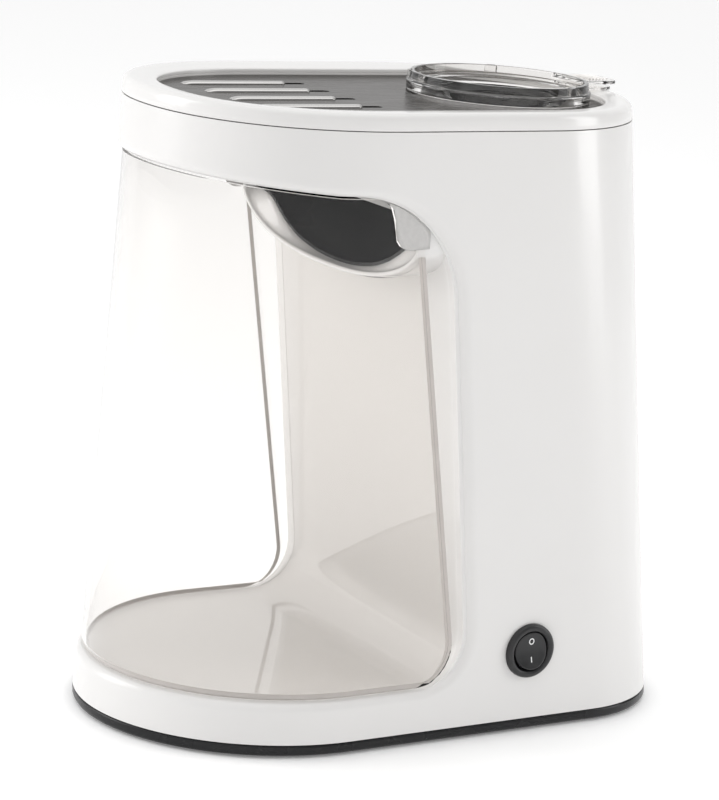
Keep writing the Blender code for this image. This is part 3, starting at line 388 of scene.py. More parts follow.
def grid(bm, rows, close_rows=False, close_columns=False):
    """Quads between rows of points with equal counts."""
    made = [[bm.verts.new(point) for point in row] for row in rows]
    pairs = list(zip(made, made[1:])) + ([(made[-1], made[0])] if close_rows else [])
    count = len(made[0])
    for a, b in pairs:
        for i in range(count if close_columns else count - 1):
            j = (i + 1) % count
            bm.faces.new((a[i], a[j], b[j], b[i]))
    return made


def cap(bm, ring):
    bm.faces.new(ring)


def thicken(made, thickness, offset=-1.0):
    step = made.modifiers.new("wall", "SOLIDIFY")
    step.thickness = thickness * MM
    step.offset = offset
    step.use_even_offset = True
    return made


def soften(made, width, segments=2, angle=35.0):
    step = made.modifiers.new("edges", "BEVEL")
    step.width = width * MM
    step.segments = segments
    step.limit_method = "ANGLE"
    step.angle_limit = math.radians(angle)
    step.harden_normals = True
    return made


def cut(made, cutter):
    step = made.modifiers.new(cutter.name, "BOOLEAN")
    step.operation = "DIFFERENCE"
    step.solver = "EXACT"
    step.object = cutter
    return made


def settle(made, angle=40.0):
    """Turns the modifiers into mesh and removes the cutters."""
    cutters = [m.object for m in made.modifiers if m.type == "BOOLEAN"]
    mesh = bpy.data.meshes.new_from_object(made.evaluated_get(bpy.context.evaluated_depsgraph_get()))
    made.modifiers.clear()
    made.data = mesh
    mesh.shade_smooth()
    mesh.set_sharp_from_angle(angle=math.radians(angle))
    for cutter in set(cutters):
        bpy.data.objects.remove(cutter, do_unlink=True)
    return made


def prism(name, outline, vector):
    bm = bmesh.new()
    face = bm.faces.new([bm.verts.new(point) for point in outline])
    out = bmesh.ops.extrude_face_region(bm, geom=[face])
    moved = [item for item in out["geom"] if isinstance(item, bmesh.types.BMVert)]
    bmesh.ops.translate(bm, vec=vector, verts=moved)
    return mesh_object(name, bm)


def turned(name, profile, look, centre=(0.0, 0.0, 0.0), axis="Z", steps=96, closed=True, angle=40.0):
    """(radius, height) profile turned about an axis through centre."""
    turn = {"Z": Matrix.Identity(3), "X": Matrix.Rotation(math.pi / 2, 3, "Y"),
            "Y": Matrix.Rotation(-math.pi / 2, 3, "X")}[axis]
    bm = bmesh.new()
    rows = []
    for i in range(steps):
        a = 2 * math.pi * i / steps
        rows.append([Vector(centre) + turn @ Vector((r * math.cos(a), r * math.sin(a), h))
                     for r, h in profile])
    grid(bm, rows, close_rows=True, close_columns=closed)
    bmesh.ops.remove_doubles(bm, verts=bm.verts, dist=0.002)
    bmesh.ops.dissolve_degenerate(bm, dist=0.001, edges=bm.edges)
    return mesh_object(name, bm, look, angle)


def rounded(points, radius, steps=4):
    """Rounds the corners of an open (r, h) profile; radius is one number or one per inner corner."""
    out = [points[0]]
    for i in range(1, len(points) - 1):
        a, b, c = (Vector(p) for p in points[i - 1:i + 2])
        r = radius if isinstance(radius, (int, float)) else radius[i - 1]
        if r <= 0.0:
            out.append(tuple(b))
            continue
        u, v = (a - b), (c - b)
        reach = min(r, u.length * 0.49, v.length * 0.49)
        p, q = b + u.normalized() * reach, b + v.normalized() * reach
        for k in range(steps + 1):
            t = k / steps
            out.append(tuple(p * (1 - t) ** 2 + b * 2 * t * (1 - t) + q * t * t))
    return out + [points[-1]]


def slot_outline(x, low, high, half, steps, z):
    """Long hole with round ends along Y, centred on x."""
    points = []
    for middle, start in ((low + half, math.pi), (high - half, 0.0)):
        points += [(x + half * math.cos(a), middle + half * math.sin(a), z)
                   for a in spread(start, start + math.pi, steps)]
    return points


def stands_for(made, body, slot, *nodes):
    """The piece rides on a body and takes the place of the nodes named. The slot argument is not used."""
    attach(made, body)
    if nodes:
        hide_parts(*nodes)
    return made


# ---- housing

NOSE_STEPS = 64
EDGE_ROLL = (4.0, 8.0)        # radius of the rolled edge at the floor and ceiling, and at the back
FLANGE = 1.5
FLANGE_PROUD = 0.15           # the flange stands this far inside the liner
RIGHT_S = 1.8                 # beyond this the outline carries on to the rear in one block


def bay_edge():
    """The bay's edge as (kind, data, outward normal, roll radius, matching outer point)."""
    low, high = HOUSING_Z
    bottom = corner_arc(BAY_FLOOR_Z, BACK_Y, BACK_LEAN, BOTTOM_RADIUS, False, 16)
    top = corner_arc(BAY_CEILING_Z, BACK_Y, BACK_LEAN, TOP_RADIUS, True, 28)
    s_floor = s_at(bottom[0][0], BAY_FLOOR_Z)
    s_top = s_at(top[-1][0], BAY_CEILING_Z)
    roll_low, roll_back = EDGE_ROLL
    items = []
    for s in [0.0, 0.003] + spread(0.0, 1.0, NOSE_STEPS)[1:] + spread(1.0, s_floor, 8)[1:-1]:
        items.append(("s", (s, BAY_FLOOR_Z), (0.0, -1.0), roll_low, (s, low)))
    tilt = math.atan(-BACK_LEAN)

    def add_arc(points, is_top):
        count = len(points) - 1
        for i, (y, z) in enumerate(points):
            t = i / count
            a = lerp(tilt, math.pi / 2, t) if is_top else lerp(-math.pi / 2, tilt, t)
            roll = lerp(roll_low, roll_back, smoothstep(1.0 - t if is_top else t))
            if is_top:
                target = ((RIGHT_S, lerp(points[0][1], high, 2 * t)) if t <= 0.5
                          else (lerp(RIGHT_S, s_top, 2 * t - 1.0), high))
            else:
                target = ((lerp(s_floor, RIGHT_S, 2 * t), low) if t <= 0.5
                          else (RIGHT_S, lerp(low, points[-1][1], 2 * t - 1.0)))
            items.append(("y", (y, z), (math.cos(a), math.sin(a)), roll, target))
    add_arc(bottom, False)
    for z in spread(bottom[-1][1], top[0][1], 40)[1:-1]:
        items.append(("y", (back_line(z), z), (math.cos(tilt), math.sin(tilt)), roll_back, (RIGHT_S, z)))
    add_arc(top, True)
    for s in spread(s_top, 0.0, NOSE_STEPS - 8)[1:-1] + [0.003, 0.0]:
        z = ceiling_z(body_point(s, BAY_CEILING_Z + 3.0)[1])
        items.append(("s", (s, z), (0.0, 1.0), roll_low, (s, high)))
    return items


def edge_place(item, out):
    """(s, z) at a distance outwards from the bay's edge."""
    kind, (a, z), (ny, nz) = item[:3]
    if kind == "s":
        return a, z + nz * out
    return s_at(a + ny * out, z + nz * out), z + nz * out


def housing_half(name, side):
    """Half shell: a short flange and a rolled edge round the bay, then the side, then the rear."""
    edge = bay_edge()
    rows = []
    rolls = [item[3] for item in edge]
    rows.append([body_point(*edge_place(item, -FLANGE_PROUD), r + FLANGE, side)
                 for item, r in zip(edge, rolls)])
    for k in range(11):
        a = math.pi / 2 * (1.0 - k / 10)
        rows.append([body_point(*edge_place(item, (r + FLANGE_PROUD) * (1.0 - math.sin(a)) - FLANGE_PROUD),
                                r * (1.0 - math.cos(a)), side) for item, r in zip(edge, rolls)])
    steps = 30
    for k in range(1, steps + 1):
        row = []
        for item, r in zip(edge, rolls):
            s0, z0 = edge_place(item, r)
            s1, z1 = item[4]
            t = k / steps
            row.append(body_point(lerp(s0, s1, t), lerp(z0, z1, t), 0.0, side))
        rows.append(row)
    bm = bmesh.new()
    grid(bm, rows)
    heights = [item[4][1] for item in edge if abs(item[4][0] - RIGHT_S) < 1e-6]
    columns = spread(RIGHT_S, 2.0, 4) + spread(2.0, 3.0, 40)[1:] + spread(3.0, 4.0, 6)[1:-1] + [3.995, 4.0]
    grid(bm, [[body_point(s, z, 0.25 if s == 4.0 else 0.0, side) for s in columns] for z in heights])
    shell = thicken(mesh_object(name, bm, LOOKS["white_housing"]), WALL)
    radius, (x0, x1) = LOUVRE_RADIUS, LOUVRE_X
    for z in LOUVRE_Z:
        ends = [(x1 - radius + radius * math.sin(a), z + radius - radius * math.cos(a))
                for a in spread(0.0, math.pi, 8)]
        ends += [(x0 + radius - radius * math.sin(a), z + radius + radius * math.cos(a))
                 for a in spread(0.0, math.pi, 8)]
        cut(shell, prism(f"louvre_{side}_{z:.0f}", [(side * x, 100.0, h) for x, h in ends], (0.0, 60.0, 0.0)))
    if side > 0:
        hole, centre, axis = SWITCH_HOLE, SWITCH, "X"
    else:
        hole, centre, axis = GLAND_HOLE, (GLAND_X, mix(REAR_Y, GLAND_Z), GLAND_Z), "Y"
    cut(shell, turned("side_hole", [(0.0, -20.0), (hole, -20.0), (hole, 12.0), (0.0, 12.0)], None,
                      centre, axis))
    return stands_for(settle(shell), "machine", "white_housing", name.replace("_shell", ""))


for side_name, side_sign in (("right", 1), ("left", -1)):
    housing_half(f"housing_{side_name}_shell", side_sign)


# ---- bay liner, spout and duct

LINER_INSET = 2.6             # inside the housing's outer surface
LINER_FRONT = 3.2             # its floor and ceiling end this far behind the front
LINER_SHEET = 2.0
LIP_RADIUS = 1.1
LIP_RISES = (4.0, 8.0, 12.0, 16.0)
MOUTH_HALF = 79.6             # the back wall is whole outside this
MOUTH_LOW_Z = 200.0           # the spout lies above this
MOUTH_DROP = 0.6              # the wall stops this far under the spout's edge


def liner_profile():
    """Points (y, z) from the front of the floor, up the back, to the front of the ceiling."""
    front = mix(FRONT_Y, BAY_FLOOR_Z) + LINER_FRONT
    points = [(y, BAY_FLOOR_Z) for y in spread(front, -20.0, 40)]
    points += corner_arc(BAY_FLOOR_Z, BACK_Y, BACK_LEAN, BOTTOM_RADIUS, False, 14)
    top = corner_arc(BAY_CEILING_Z, BACK_Y, BACK_LEAN, TOP_RADIUS, True, 60)
    points += [(back_line(z), z) for z in spread(points[-1][1], top[0][1], 40)[1:-1]] + top
    last = mix(FRONT_Y, BAY_CEILING_Z) + LINER_FRONT
    return points + [(y, ceiling_z(y)) for y in spread(CEILING_START, last, 40)[1:]]


def liner_half_width(y, z):
    nose_end = mix(FRONT_Y, z) + mix(NOSE, z)
    if y >= nose_end:
        return HALF - LINER_INSET
    ratio = min((nose_end - y) / (mix(NOSE, z) - LINER_INSET), 0.9999)
    exponent = mix(NOSE_EXPONENT, z)
    return max((HALF - LINER_INSET) * (1.0 - ratio ** exponent) ** (1.0 / exponent), 0.4)


def liner():
    profile = liner_profile()
    columns = 72
    share = [math.sin(math.pi / 2 * lerp(-1.0, 1.0, i / columns)) for i in range(columns + 1)]
    split = next(i for i, (y, z) in enumerate(profile) if z > MOUTH_LOW_Z and y < SPOUT_FRONT_Y)
    lower, upper = profile[:split + 1], profile[split:]

    def trimmed(c):
        """Profile points for one column, stopping where the spout is cut through."""
        out = []
        for y, z in lower:
            x = c * liner_half_width(y, z)
            if abs(x) < MOUTH_HALF and z > MOUTH_LOW_Z and z >= spout_z(x) - MOUTH_DROP:
                break
            out.append((x, y, z))
        return out
    runs = [trimmed(c) for c in share]
    count = len(lower)
    bm = bmesh.new()
    rows = []
    for run in runs:
        keep = len(run) - 1
        rows.append([run[min(i, keep)] for i in range(count)])
    # the last point of each run is moved onto the spout's curve
    for row, run, c in zip(rows, runs, share):
        if len(run) < count:
            y0, z0 = run[-1][1], run[-1][2]
            y1, z1 = lower[len(run)]
            target = spout_z(run[-1][0]) - MOUTH_DROP
            t = min(max((target - z0) / max(z1 - z0, 1e-6), 0.0), 1.0)
            y, z = lerp(y0, y1, t), lerp(z0, z1, t)
            for i in range(len(run) - 1, count):
                row[i] = (c * liner_half_width(y, z), y, z)
    grid(bm, rows)
    grid(bm, [[(c * liner_half_width(y, z), y, z) for y, z in upper] for c in share])
    bmesh.ops.remove_doubles(bm, verts=bm.verts, dist=0.002)
    bmesh.ops.dissolve_degenerate(bm, dist=0.002, edges=bm.edges)
    made = mesh_object("bay_liner_shell", bm, LOOKS["white_housing"], 50.0)
    middle = Vector((0.0, -70.0, 150.0)) * MM
    for face in made.data.polygons:
        inwards = middle - face.center
        inwards.x = 0.0
        if face.normal.dot(inwards) < 0.0:
            face.flip()
    made.data.update()
    thicken(made, LINER_SHEET)
    return stands_for(settle(made, 50.0), "machine", "white_housing", "bay_liner")


def spout_lip():
    """White flare from the spout's rounded front edge back to the edge of the black duct."""
    bm = bmesh.new()
    rows = []
    edge_x = MOUTH_HALF + 0.6
    places = [(-edge_x, rise) for rise in LIP_RISES[::-1]]
    places += [(edge_x * math.sin(math.pi / 2 * t), 0.0) for t in spread(-1.0, 1.0, 120)]
    places += [(edge_x, rise) for rise in LIP_RISES]
    for x, rise in places:
        front, rear = spout_z(x, SPOUT_HALF + 2.0) + rise, duct_edge_z(x) + rise
        slope = (spout_z(abs(x) + 0.5, SPOUT_HALF + 2.0) - spout_z(abs(x) - 0.5, SPOUT_HALF + 2.0))
        run = math.hypot(1.0, slope)
        away = Vector((math.copysign(slope / run, x), 0.0, -1.0 / run))
        out = [(x, lerp(DUCT_Y, SPOUT_FRONT_Y + LIP_RADIUS, t), lerp(rear, front, smoothstep(t)))
               for t in spread(0.0, 1.0, 8)]
        for a in spread(0.0, math.pi, 10)[1:]:
            deep = LIP_RADIUS - LIP_RADIUS * math.cos(a)
            place = Vector((x, SPOUT_FRONT_Y + LIP_RADIUS - LIP_RADIUS * math.sin(a), front)) + away * deep
            out.append(tuple(place))
        out.append(tuple(Vector((x, -10.0, front)) + away * 2 * LIP_RADIUS))
        rows.append(out)
    grid(bm, rows)
    lip = mesh_object("spout_lip", bm, LOOKS["white_housing"], 75.0)
    return stands_for(lip, "machine", "white_housing")


def duct():
    """Black chute inside the spout: wide at the mouth, its floor climbing to the chamber."""
    flange, top = DUCT_FLANGE, DUCT_TOP_Z
    mouth = SPOUT_HALF + 1.0
    sill_y = AXIS_Y - 50.0
    climb = DUCT_SILL_Z - DUCT_EDGE_Z

    def section(y):
        t = max(0.0, (y - DUCT_Y) / (AXIS_Y - DUCT_Y))
        if y <= AXIS_Y:
            wide = lerp(mouth, flange, smoothstep(t))
        else:
            wide = math.sqrt(max(flange ** 2 - (y - AXIS_Y) ** 2, 1.0))
        reach = smoothstep((y - DUCT_Y) / (sill_y - DUCT_Y))
        points = []
        for i in range(97):
            x = wide * math.sin(math.pi / 2 * lerp(-1.0, 1.0, i / 96))
            edge = duct_edge_z(x * mouth / wide) + climb * reach
            points.append((x, y, lerp(edge, DUCT_SILL_Z + 0.2, 0.8 * reach)))
        side = [(wide, y, lerp(points[-1][2], top, k / 6)) for k in range(1, 7)]
        roof = [(lerp(wide, -wide, k / 12), y, top) for k in range(1, 13)]
        return points + side + roof + [(-x, y, z) for x, y, z in side[::-1]][1:]
    levels = spread(DUCT_Y, sill_y, 24) + spread(sill_y, AXIS_Y, 16)[1:]
    levels += [AXIS_Y + flange * math.sin(math.radians(a)) for a in range(5, 86, 8)]
    bm = bmesh.new()
    rings = grid(bm, [section(y) for y in levels], close_columns=True)
    cap(bm, rings[-1])
    made = thicken(mesh_object("chute_duct_shell", bm, LOOKS["black_duct"]), 1.6)
    for low, high, radius in ((200.0, 262.0, CHAMBER_RADIUS), (272.0, 320.0, CHAMBER_RADIUS - 1.0)):
        bore = [(0.0, low), (radius, low), (radius, high), (0.0, high)]
        cut(made, turned(f"duct_bore_{low:.0f}", bore, None, (0.0, AXIS_Y, 0.0)))
    return stands_for(settle(made), "machine", "black_duct", "chute_duct")


liner()
spout_lip()
duct()


# ---- lid and steel plate

PERIMETER = ([0.0, 0.003] + spread(0.0, 1.0, NOSE_STEPS)[1:] + spread(1.0, 2.0, 12)[1:]
             + spread(2.0, 3.0, 44)[1:] + spread(3.0, 4.0, 4)[1:])


def loop(point_at):
    """Closed ring of points from a function of (s, side)."""
    right = [point_at(s, 1) for s in PERIMETER]
    left = [point_at(s, -1) for s in PERIMETER[1:-1]]
    return right + left[::-1]


LID_SHOULDER = 3.4            # radius of the lid's rounded shoulder
LID_TOP_Z = 299.9
HOOD_HEIGHT = 1.5
HOOD_SHORT = 12.0             # the beads end this far before their slots


def lid():
    """White ring: seam, rounded shoulder, a top that falls to the opening, and a groove inside."""
    def outer(z, inset):
        return loop(lambda s, side: body_point(s, z, inset, side))

    def inner(z, out):
        return loop(lambda s, side: opening_point(s, z, out, side))

    def between(t, z, first, last):
        def at(s, side):
            a, b = body_point(s, z, first, side), opening_point(s, z, last, side)
            return lerp(a[0], b[0], t), lerp(a[1], b[1], t), z
        return loop(at)
    shoulder, top = LID_SHOULDER, LID_TOP_Z
    rings = [outer(292.15, 1.0), outer(292.15, 0.3), outer(292.25, 0.1), outer(292.5, 0.0), outer(294.5, 0.0)]
    rings += [outer(top - shoulder + shoulder * math.sin(a), shoulder * (1.0 - math.cos(a)))
              for a in spread(0.0, math.pi / 2 * 0.92, 8)]
    rings += [between(t, top - 1.25 * t ** 1.6, shoulder * 0.95, 0.9) for t in spread(0.0, 1.0, 10)[1:]]
    rings += [inner(298.62 - 0.8 * (1.0 - math.cos(a)), 0.9 * (1.0 - math.sin(a)))
              for a in spread(0.0, math.pi / 2, 5)[1:]]
    rings += [inner(296.9, 0.0), inner(296.7, 0.25), inner(296.5, 0.0), inner(295.0, 0.0), inner(295.0, 2.0)]
    bm = bmesh.new()
    grid(bm, rings, close_columns=True)
    made = mesh_object("lid_ring_shell", bm, LOOKS["white_housing"], 50.0)
    return stands_for(made, "machine", "white_housing", "lid_ring")


def top_plate():
    """Steel sheet with its slots and the hole for the cup."""
    bm = bmesh.new()
    top = [bm.verts.new(p) for p in loop(lambda s, side: opening_point(s, PLATE_Z, 1.5, side))]
    bm.faces.new(top)
    made = thicken(mesh_object("top_plate_sheet", bm, LOOKS["steel_plate"]), 0.8)
    if made.data.polygons[0].normal.z < 0.0:
        made.data.polygons[0].flip()
    for x in SLOT_X:
        outline = slot_outline(x, *SLOT_Y, SLOT_HALF, 8, PLATE_Z - 5.0)
        cut(made, prism(f"slot_{x:.0f}", outline, (0.0, 0.0, 10.0)))
    cut(made, turned("cup_hole", [(0.0, 280.0), (39.9, 280.0), (39.9, 310.0), (0.0, 310.0)], None,
                     (0.0, AXIS_Y, 0.0)))
    return stands_for(settle(made), "machine", "steel_plate", "top_plate")


def plate_hoods():
    """Pressed beads over the slots: each is an arch with its rear end open over the cut."""
    half = SLOT_HALF + 0.5
    bm = bmesh.new()
    for x in SLOT_X:
        low, high = SLOT_Y[0] - 1.0, SLOT_Y[1] - HOOD_SHORT
        rows = []
        for i in range(41):
            t = i / 40
            grow = min((1.0 - (1.0 - min(t / 0.12, 1.0)) ** 2), 1.0) ** 0.5
            lift = HOOD_HEIGHT * grow * (1.0 - 0.12 * t)
            wide = half * lerp(0.75, 1.0, grow)
            rows.append([(x + wide * math.cos(a), lerp(low, high, t), PLATE_Z - 0.1 + lift * math.sin(a))
                         for a in spread(0.0, math.pi, 12)])
        grid(bm, rows)
    # the beads take the brighter steel copy: painted highlight
    hoods = thicken(mesh_object("plate_hoods", bm, HOOD_STEEL_PAINTED_HIGHLIGHT, 60.0), 0.5)
    return stands_for(hoods, "machine", "steel_plate")


lid()
top_plate()
plate_hoods()


# ---- dosing cup

TAB_HALF = 13.0
TAB_TIP = 118.5
TAB_CORNER = 7.0
TAB_LEAVES = ((302.6, 1.7, 0.0), (299.6, 1.5, 1.6))   # height, thickness, how much narrower
RIB_COUNT = 6
LUG_ANGLES = (-118.0, 20.0, 152.0)


def dosing_cup():
    """Clear cup with a stepped rim; its floor is inside the chute."""
    seat = PLATE_Z + 0.3
    outer = [(0.0, 284.0), (36.5, 284.0), (39.5, 287.0), (39.5, seat), (44.7, seat), (44.9, 300.6),
             (43.7, 301.2), (43.4, 305.0), (41.2, 305.0), (41.0, 300.0), (37.7, 299.2), (37.7, 289.0),
             (34.0, 285.8), (0.0, 285.8)]
    radii = [1.0, 1.0, 0.2, 0.5, 0.7, 0.3, 0.5, 0.5, 0.4, 0.4, 1.0, 1.0]
    cup = turned("dosing_cup_shell", rounded(outer, radii, 3), LOOKS["clear_plastic"], (0.0, AXIS_Y, 0.0),
                 steps=128, closed=False, angle=50.0)
    return stands_for(cup, "cup", "clear_plastic", "dosing_cup")


def cup_tab():
    """Two flat leaves that point to the rear, with ribs for grip near the end."""
    tip, corner = TAB_TIP, TAB_CORNER
    bm = bmesh.new()
    for z, thick, narrow in TAB_LEAVES:
        half = TAB_HALF - narrow
        right = [(half, AXIS_Y + 40.9)]
        right += [(half - corner + corner * math.sin(a), tip - narrow - corner + corner * math.cos(a))
                  for a in spread(math.pi / 2, 0.0, 8)]
        outline = right + [(-x, y) for x, y in right[::-1]]
        face = bm.faces.new([bm.verts.new((x, y, z)) for x, y in outline])
        out = bmesh.ops.extrude_face_region(bm, geom=[face])
        bmesh.ops.translate(bm, vec=(0.0, 0.0, thick),
                            verts=[v for v in out["geom"] if isinstance(v, bmesh.types.BMVert)])
    tab = soften(mesh_object("cup_tab", bm, LOOKS["clear_plastic"]), 0.5)
    stands_for(tab, "cup", "clear_plastic")
    bm = bmesh.new()
    for i in range(RIB_COUNT):
        y = tip - 5.0 - 2.0 * i
        rows = [[(x, y + 0.6 * math.cos(a), 304.3 + 0.6 * math.sin(a)) for a in spread(0.0, math.pi, 6)]
                for x in (-7.5, -7.0, 7.0, 7.5)]
        grid(bm, rows)
    return stands_for(mesh_object("cup_tab_ribs", bm, LOOKS["clear_plastic"]), "cup", "clear_plastic")


def cup_lugs():
    """Lugs moulded on the rim."""
    bm = bmesh.new()
    for degrees in LUG_ANGLES:
        turn = Matrix.Translation((0.0, AXIS_Y, 0.0)) @ Matrix.Rotation(math.radians(degrees), 4, "Z")
        rows = []
        for width, z in ((3.2, 301.3), (3.2, 304.2), (2.4, 305.0)):
            section = ((42.4, -width), (44.5, -width + 0.5), (44.7, 0.0), (44.5, width - 0.5), (42.4, width))
            rows.append([turn @ Vector((x, y, z)) for x, y in section])
        rings = grid(bm, rows)
        cap(bm, rings[-1])
    return stands_for(mesh_object("cup_lugs", bm, LOOKS["clear_plastic"]), "cup", "clear_plastic")


dosing_cup()
cup_tab()
cup_lugs()


# ---- container

BIN_FILLET = corner_arc(BIN_FLOOR_Z, BIN_BACK_Y, BIN_LEAN, BIN_RADIUS, False, 60)
BIN_SIDE = HALF - BIN_INSET
TAB_X = 82.55                 # the corner tabs' distance from the middle
BAY_ARC = (-69.6, 207.5, 54.5)   # centre (y, z) and radius of the tabs' outer edge
# Round the right half of the container: the nose, then fractions of the side, rear corner and rear
STATIONS = [("nose", s) for s in [0.0, 0.004] + spread(0.0, 1.0, 72)[1:]]
STATIONS += [("side", t) for t in spread(0.0, 1.0, 24)[1:]]
STATIONS += [("corner", t) for t in spread(0.0, 1.0, 6)[1:]]
STATIONS += [("rear", t) for t in spread(0.0, 1.0, 30)[1:]]


def bin_back(z):
    """Y of the container's rear face at a height."""
    if z >= BIN_FILLET[-1][1]:
        return back_line(z, BIN_BACK_Y, BIN_LEAN)
    for (y0, z0), (y1, z1) in zip(BIN_FILLET, BIN_FILLET[1:]):
        if z0 <= z <= z1:
            return lerp(y0, y1, (z - z0) / max(z1 - z0, 1e-6))
    return BIN_FILLET[0][0]


def bin_point(station, z, shrink=0.0, side=1):
    kind, t = station
    rear = bin_back(z) - shrink
    if kind == "nose":
        x, y = body_point(t, z, BIN_INSET + shrink)[:2]
        return side * x, min(y, rear), z
    half = BIN_SIDE - shrink
    if kind == "side":
        start = body_point(1.0, z, BIN_INSET + shrink)[1]
        return side * half, min(lerp(start, rear - BIN_CORNER, t), rear), z
    if kind == "corner":
        a = math.pi / 2 * t
        return (side * (half - BIN_CORNER + BIN_CORNER * math.cos(a)),
                rear - BIN_CORNER + BIN_CORNER * math.sin(a), z)
    return side * (half - BIN_CORNER) * (1.0 - t), rear, z


def bin_top_at(y):
    """Height of the side's upper edge, which steps down towards the rear."""
    if y <= BIN_STEP[0][0]:
        return ceiling_z(y) - 1.2
    for (y0, z0), (y1, z1) in zip(BIN_STEP, BIN_STEP[1:]):
        if y <= y1:
            return lerp(z0, z1, (y - y0) / (y1 - y0))
    return BIN_STEP_Z


def bin_top(station):
    if station[0] == "rear":
        x = (BIN_SIDE - BIN_CORNER) * (1.0 - station[1])
        return min(spout_z(x, SPOUT_HALF + 3.0, SPOUT_Z - 3.0, SPOUT_RISE + 3.0), BIN_STEP_Z)
    z = 250.0
    for _ in range(6):
        z = bin_top_at(bin_point(station, z)[1])
    return z


def container():
    """Clear shell: rolled foot, walls up to their own top edge, and a flat floor."""
    tops = {station: bin_top(station) for station in STATIONS}
    order = [(station, 1) for station in STATIONS] + [(station, -1) for station in STATIONS[1:-1][::-1]]
    foot = [(BIN_FOOT * (1.0 - math.sin(a)), BIN_FLOOR_Z + BIN_FOOT * (1.0 - math.cos(a)))
            for a in spread(0.0, math.pi / 2, 6)]
    rows = [[bin_point(station, z, shrink, side) for station, side in order]
            for shrink, z in [(14.0, BIN_FLOOR_Z), (8.0, BIN_FLOOR_Z)] + foot]
    for t in spread(0.0, 1.0, 60)[1:]:
        rows.append([bin_point(station, lerp(BIN_FLOOR_Z + BIN_FOOT, tops[station], t), 0.0, side)
                     for station, side in order])
    bm = bmesh.new()
    rings = grid(bm, rows, close_columns=True)
    cap(bm, rings[0])
    made = mesh_object("popcorn_container_shell", bm, LOOKS["clear_plastic"], 50.0)
    thicken(made, BIN_WALL)
    return stands_for(settle(made, 50.0), "container", "clear_plastic", "popcorn_container")


def container_edge_painted_shade():
    """Ribbons inside the rear corners and round the foot, where clear plastic looks denser: painted shade, an
    opaque sheet standing in for the darker line that light bent and reflected inside the thick edges gives.
    """
    bm = bmesh.new()
    for side in (-1, 1):
        x = side * (BIN_SIDE - BIN_WALL - 0.05)
        grid(bm, [[(x, bin_back(z) - deep, z) for z in spread(BIN_FLOOR_Z + 2.4, BIN_STEP_Z - 0.4, 80)]
                  for deep in (3.3, 1.6, 0.15)])
    round_foot = [station for station in STATIONS if station[0] in ("nose", "side")]
    for side in (-1, 1):
        grid(bm, [[bin_point(station, BIN_FLOOR_Z + rise, shrink, side) for station in round_foot]
                  for rise, shrink in ((0.25, 3.4), (1.2, 2.3), (3.2, 2.05))])
    return stands_for(mesh_object("container_edge_painted_shade", bm, EDGE), "container", "clear_plastic")


def container_corner_tabs():
    """Grey tabs that fill the stepped corners up to the bay's radius: painted shade, standing in for the
    shaded white liner seen through the open notch.
    """
    step = BIN_STEP[2:-1]
    arc_y, arc_z, radius = BAY_ARC
    far = [(arc_y + radius * math.cos(a), arc_z + radius * math.sin(a))
           for a in spread(math.radians(72.9), math.radians(45.0), len(step) - 3)]
    far += [(-30.8, 242.0), (-30.8, 238.4)]
    bm = bmesh.new()
    for side in (-1, 1):
        grid(bm, [[(side * TAB_X, lerp(a[0], b[0], t), lerp(a[1], b[1], t)) for t in spread(0.0, 1.0, 6)]
                  for a, b in zip(step, far)])
    tabs = thicken(mesh_object("container_corner_tabs", bm, NOTCH_TAB_PAINTED_SHADE), 0.35, 0.0)
    return stands_for(tabs, "container", "clear_plastic")


container()
container_edge_painted_shade()
container_corner_tabs()


# ---- base and feet

def base():
    """Black pan with a rolled skirt, a grille under the fan and holes for its four screws."""
    def ring(z, inset):
        return loop(lambda s, side: body_point(s, z, inset, side))
    roll = 2.4
    rings = [ring(6.2, 3.0), ring(6.2, 0.6), ring(5.9, 0.25), ring(5.3, 0.1), ring(3.4, 0.1)]
    rings += [ring(3.4 - roll * math.sin(a), 0.1 + roll * (1.0 - math.cos(a)))
              for a in spread(0.0, math.pi / 2, 6)[1:]]
    rings += [ring(1.0, 4.0), ring(3.6, 4.2)]
    bm = bmesh.new()
    made = grid(bm, rings, close_columns=True)
    cap(bm, made[0][::-1])
    cap(bm, made[-1])
    plate = mesh_object("base_plate_shell", bm, LOOKS["black_base"])
    for x in GRILLE_X:
        reach = math.sqrt(GRILLE_RADIUS ** 2 - x * x)
        outline = slot_outline(x, AXIS_Y - reach, AXIS_Y + reach, GRILLE_HALF, 6, 2.0)
        cut(plate, prism(f"grille_{x + 30}", outline, (0.0, 0.0, 8.0)))
    for x, y in SCREW_POSITIONS:
        cut(plate, turned(f"screw_hole_{x:.0f}_{y:.0f}", [(0.0, 2.0), (1.7, 2.0), (1.7, 10.0), (0.0, 10.0)],
                          None, (x, y, 0.0), steps=32))
    return stands_for(settle(plate), "machine", "black_base", "base_plate")


base()
for index, (foot_x, foot_y) in enumerate(FOOT_POSITIONS, 1):
    foot = turned(f"foot_{index}_pad", rounded([(0.0, 0.0), (6.4, 0.0), (7.0, 3.3), (0.0, 3.3)], [0.6, 0.3]),
                  LOOKS["foot_rubber"], (foot_x, foot_y, 0.0), steps=48, closed=False)
    stands_for(foot, "machine", "foot_rubber", f"foot_{index}")


# ---- switch and cord inlet

def switch_body():
    """Round bezel and barrel."""
    bezel = rounded([(9.6, -8.0), (9.6, 1.4), (10.2, 2.5), (11.8, 2.9), (13.2, 2.2), (13.5, 0.2), (11.0, 0.2),
                     (10.6, -19.0), (0.0, -19.0)], [0.4, 0.6, 0.8, 0.8, 0.2, 0.3, 0.5])
    body = turned("switch_body_shell", bezel, LOOKS["black_switch"], SWITCH, "X", 96, False)
    return stands_for(body, "machine", "black_switch", "switch_body")


def on_rocker(x, y, z):
    """A point given on the level rocker, in its tilted place."""
    return SWITCH + Matrix.Rotation(math.radians(SWITCH_TILT), 3, "Y") @ Vector((x, y, z))


